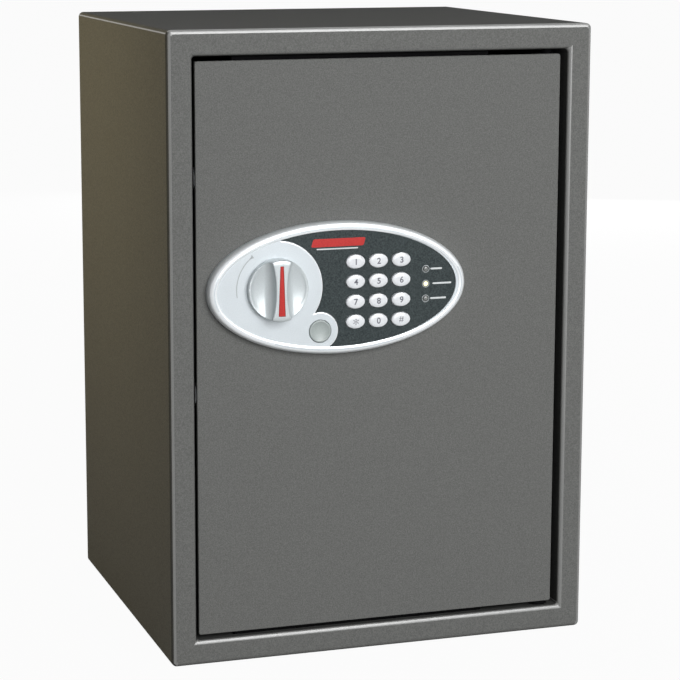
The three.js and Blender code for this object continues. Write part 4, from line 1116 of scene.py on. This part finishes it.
# each print on the panel, in millimetres: left, right, bottom, top, corner and lean
panelBar = (-62.5, -19.5, 330.8, 337.2, 1.2, 1.8)
panelLine = (-58, -24, 328.6, 329.6, 0.45, 0)
dashEnds = [(36.7, 46.4), (38.5, 54.4), (36.7, 50)]
dashHalf, dashCorner = 0.7, 0.6


def printOn(name, outline):
    left, right, bottom, top, corner, lean = (size * mm for size in outline)
    face = doorFront - panelSheet["top"]
    label = addBox(name, (left, face - printSheet, bottom), (right, face, top))
    startEdit(label)
    pickFacing(label, "up")
    bpy.ops.transform.translate(value=(lean, 0, 0))
    endEdit()
    roundEdges(label, alongDepth, corner, 4)
    return label


def makePrints():
    dashes = []
    for (left, right), height in zip(dashEnds, lightHeights):
        middle = height / mm
        outline = (left, right, middle - dashHalf, middle + dashHalf, dashCorner, 0)
        dashes.append(printOn("dash", outline))
    labels = joinPieces(*dashes)
    labels.name = "light_dashes"
    handOver(labels, "door", "silver_plastic", finish="pale_ink")
    handOver(printOn("panel_bar", panelBar), "door", "red_inlay")
    handOver(printOn("panel_line", panelLine), "door", "silver_plastic", finish="pale_ink")


turnMark = {"from": 190, "to": 128, **inMm(radius=32.5, width=0.7, head=1.9)}


# a plain arc with an arrow head, beside the knob
def makeTurnMark():
    face = doorFront - fasciaSize["plateau"] - printSheet / 2
    centre = Vector((knobPlace.x, face, knobPlace.z))
    start, end = math.radians(turnMark["from"]), math.radians(turnMark["to"])

    def onArc(angle):
        return centre + Vector((math.cos(angle), 0, math.sin(angle))) * turnMark["radius"]

    arc = addForm("turn_arc", bpy.ops.mesh.primitive_plane_add, (turnMark["width"], printSheet, 1),
                  size=1, location=(0, 0, 0))
    arc.data.transform(Matrix.Translation(onArc(start)) @ Matrix.Rotation(-start, 4, "Y"))
    startEdit(arc)
    selectAll()
    bpy.ops.mesh.spin(steps=40, angle=end - start, center=centre, axis=(0, 1, 0))
    joinPoints()
    faceOutward()
    endEdit()
    tip = onArc(end)
    head = addRod("head", (tip.x, face + printSheet / 2, tip.z), "front", printSheet,
                  turnMark["head"], 3)
    turned = Matrix.Translation(tip) @ Matrix.Rotation(-end, 4, "Y") @ Matrix.Translation(-tip)
    head.data.transform(turned)
    joinPieces(arc, head)
    handOver(arc, "door", "slate_panel", finish="grey_ink")


makeFascia()
makePanel()
makeKeys()
makeLights()
makePrints()
makeTurnMark()
print("fascia and keypad made")


# knob, with heights measured out from its back
knobSize = {"smoothing": 8, **inMm(
    radius=24.2, grip=13.5, waist=9, scoopInner=8, scoopOuter=20, scoopLength=28, scoopDepth=10.3,
    ring=5, ringWidth=2.2, voxel=0.42, bore=5.3, boreDepth=4.7,
)}
stripeSize = inMm(
    length=39, top=2.6, bottom=5.4, deep=1.2, proud=0.2, gap=0.12, under=0.1, round=0.5,
)


def taperedBar(name, back, front, margin):
    half = stripeSize["length"] / 2 + margin
    widest = stripeSize["bottom"] / 2 + margin
    narrowest = stripeSize["top"] / 2 + margin
    bar = addBox(name, (knobPlace.x - widest, front, knobPlace.z - half),
                 (knobPlace.x + widest, back, knobPlace.z + half))
    startEdit(bar)
    pickFacing(bar, "up")
    bpy.ops.transform.resize(value=(narrowest / widest, 1, 1), center_override=knobPlace)
    endEdit()
    return bar


# a hollow beside the grip: steep towards the grip, and gentle out to the knob's edge
def makeScoop(foot, side):
    valley = side * (knobSize["waist"] / 2 + knobSize["scoopInner"])
    middle = foot + Vector((valley, -knobSize["grip"], 0))
    scoop = addForm(
        "scoop", bpy.ops.mesh.primitive_uv_sphere_add,
        (knobSize["scoopInner"], knobSize["scoopDepth"], knobSize["scoopLength"]),
        segments=96, ring_count=64, radius=1, location=middle,
    )
    startEdit(scoop)
    pickFaces(scoop, lambda place, normal: (place.x - middle.x) * side > 0)
    widen = knobSize["scoopOuter"] / knobSize["scoopInner"]
    bpy.ops.transform.resize(value=(widen, 1, 1), center_override=middle)
    endEdit()
    return scoop


def makeKnob():
    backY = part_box("knob")[1].y
    radius, grip, ringTop = knobSize["radius"], knobSize["grip"], knobSize["ring"]
    foot = Vector((knobPlace.x, backY, knobPlace.z))
    behind = foot + Vector((0, mm, 0))
    knob = drawRound("knob_moulding", foot, "front", [
        (0, radius), (grip - 2.2 * mm, radius), (grip - 0.9 * mm, radius - 0.5 * mm),
        (grip - 0.2 * mm, radius - 1.6 * mm), (grip, radius - 3 * mm),
    ], 160)
    carve(knob, *[makeScoop(foot, side) for side in sides])
    ring = drawRound("ring", foot, "front", [
        (0, radius), (ringTop - 0.8 * mm, radius), (ringTop, radius - 0.7 * mm),
    ], 160)
    carve(ring, addRod("inside", behind, "front", 10 * mm, radius - knobSize["ringWidth"], 160))
    weld(knob, ring)
    modify(knob, "REMESH", mode="VOXEL", voxel_size=knobSize["voxel"], adaptivity=0)
    modify(knob, "SMOOTH", factor=0.5, iterations=knobSize["smoothing"])
    front = backY - grip
    floor = front + stripeSize["deep"]
    carve(
        knob,
        taperedBar("stripeHole", floor, front - mm, stripeSize["gap"]),
        addRod("bore", behind, "front", knobSize["boreDepth"] + mm, knobSize["bore"], 48),
    )
    shadeSmooth(knob, 40)
    handOver(knob, "knob", "silver_plastic", "knob", finish="silver_knob")
    stripeFace = front - stripeSize["proud"]
    stripe = taperedBar("knob_stripe", floor - stripeSize["under"], stripeFace, 0)
    roundEdges(stripe, lambda a, b: bothNear(a.y, b.y, stripeFace), stripeSize["round"])
    shadeSmooth(stripe, 40)
    handOver(stripe, "knob", "red_inlay", "knob_insert")


# the cap's front is a shallow dish, in millimetres: height, and how far in from the edge
capProfile = [(6.4, 0), (9.3, 0), (9.9, 0.25), (10.2, 0.8), (10.1, 1.3), (9.5, 2), (8.8, 3.4),
              (8.3, 5), (8.05, 6.6), (8, 8)]


def makeCap():
    low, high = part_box("override_cap")
    radius = (high.x - low.x) / 2
    rings = [(height * mm, radius - inset * mm) for height, inset in capProfile]
    cap = drawRound("cap_moulding", lobePlace, "front", rings, 72)
    shadeSmooth(cap, 40)
    handOver(cap, "override_cap", "cap_grey", "override_cap")


makeKnob()
makeCap()
print("knob made")


# the frame's own pieces that stay, by finish
keptNodes = {
    "grey_paint": ["left_shelf_rail", "right_shelf_rail"],
    "zinc_steel": ["bolt_carriage", "bolt_cam", "spindle", "solenoid_plunger", "plunger_spring",
                   "override_lock", "override_cam"],
    "dark_steel": ["upper_hinge_plate", "lower_hinge_plate", "strike_plate", "bolt_guide",
                   "upper_hinge_block", "lower_hinge_block", "spindle_clip"],
    "lock_brass": ["override_plug"],
    "coil_blue": ["solenoid_body"],
    "circuit_green": ["keypad_board", "circuit_board"],
    "cable_grey": ["keypad_cable"],
    "black_plastic": ["battery_box"],
    "cell_wrap": ["battery_pack"],
}
for finish, names in keptNodes.items():
    for name in names:
        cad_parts[name].material_slots[0].material = finishes[finish]
print("kept nodes finished")


# camera, floor and light
photoView = {
    "place": (-0.5981, -1.8110, 0.5933), "yaw": 0.31, "pitch": -0.1729, "sensor": 36,
    "focalPixels": 2262.3, "middleColumn": 302.6, "middleRow": 299.2, "pixels": 680,
}


def makeCamera():
    camera = bpy.data.objects.new("camera", bpy.data.cameras.new("camera"))
    bpy.context.scene.collection.objects.link(camera)
    camera.location = photoView["place"]
    camera.rotation_euler = (quarter + photoView["pitch"], 0, -photoView["yaw"])
    pixels, sensor = photoView["pixels"], photoView["sensor"]
    camera.data.sensor_width = sensor
    camera.data.lens = photoView["focalPixels"] / pixels * sensor
    camera.data.shift_x = (pixels / 2 - photoView["middleColumn"]) / pixels
    camera.data.shift_y = (photoView["middleRow"] - pixels / 2) / pixels
    bpy.context.scene.camera = camera


# camera, mirror and glass rays see the plain backdrop, and all others see the shader itself
def mixBackdrop(owner, own, plain, share, output):
    path = addNode(owner, "ShaderNodeLightPath")
    seen = path.outputs["Is Camera Ray"]
    for ray in ("Is Glossy Ray", "Is Transmission Ray"):
        seen = addMaths(owner, "MAXIMUM", seen, path.outputs[ray])
    factor = addMaths(owner, "MULTIPLY", seen, share)
    mix = addNode(owner, "ShaderNodeMixShader", {"Fac": factor, 1: own, 2: plain})
    setInputs(owner, owner.node_tree.nodes[output], {"Surface": mix.outputs["Shader"]})


def makeFloor():
    floor = addForm("studio_floor", bpy.ops.mesh.primitive_plane_add, (1, 1, 1), size=400,
                    location=(0, 0, -0.3 * mm))
    material = bpy.data.materials.new("studio_floor")
    material.use_nodes = True
    shader = material.node_tree.nodes["Principled BSDF"]
    setInputs(material, shader, {
        "Base Color": (*studio["floor"], 1), "Roughness": 0.9, "Specular IOR Level": 0.1,
    })
    glow = addNode(material, "ShaderNodeEmission")
    mixBackdrop(material, shader.outputs["BSDF"], glow.outputs["Emission"], studio["floorShare"],
                "Material Output")
    floor.data.materials.append(material)


studio = {"ambient": 0.13, "floor": (0.35, 0.35, 0.35), "floorShare": 0.96}
white, amber = (1, 1, 1), (1, 0.81, 0.44)
lamps = {
    "key_lamp": {"place": (0.3, -2.3, 1.05), "aim": (0, -0.15, 0.27), "wide": 1.7, "high": 1.6,
                 "power": 52},
    "high_lamp": {"place": (0.5, -1.1, 1.9), "aim": (0, -0.15, 0.4), "wide": 1.4, "high": 1.6,
                  "power": 52, "lights": False},
    "side_lamp": {"place": (-0.68, 0.12, 0.5), "aim": (0, 0.12, 0.5), "wide": 0.25, "high": 0.25,
                  "power": 1.55, "colour": amber, "gleams": False},
    "right_lamp": {"place": (1.6, 0.35, 0.35), "aim": (0.17, 0.05, 0.25), "wide": 1, "high": 0.4,
                   "power": 11, "gleams": False},
    "back_lamp": {"place": (1.1, 2.5, 0.35), "aim": (0, 0.15, 0.25), "wide": 1.4, "high": 0.6,
                  "power": 36, "gleams": False},
}


def makeWorld():
    world = bpy.data.worlds.new("studio")
    bpy.context.scene.world = world
    world.use_nodes = True
    ambient = world.node_tree.nodes["Background"]
    setInputs(world, ambient, {"Color": (*white, 1), "Strength": studio["ambient"]})
    plain = addNode(world, "ShaderNodeBackground", {"Color": (*white, 1)})
    mixBackdrop(world, ambient.outputs["Background"], plain.outputs["Background"], 1,
                "World Output")


def makeLamps():
    for name, lamp in lamps.items():
        data = bpy.data.lights.new(name, "AREA")
        data.shape = "RECTANGLE"
        data.size = lamp["wide"]
        data.size_y = lamp["high"]
        data.energy = lamp["power"]
        data.color = lamp.get("colour", white)
        light = bpy.data.objects.new(name, data)
        bpy.context.scene.collection.objects.link(light)
        light.location = lamp["place"]
        direction = Vector(lamp["aim"]) - light.location
        light.rotation_euler = direction.to_track_quat("-Z", "Y").to_euler()
        light.visible_camera = False
        light.visible_diffuse = lamp.get("lights", True)
        light.visible_glossy = lamp.get("gleams", True)


makeCamera()
makeFloor()
makeWorld()
makeLamps()
bpy.context.scene.view_settings.view_transform = "Standard"
print("camera, floor and light made")
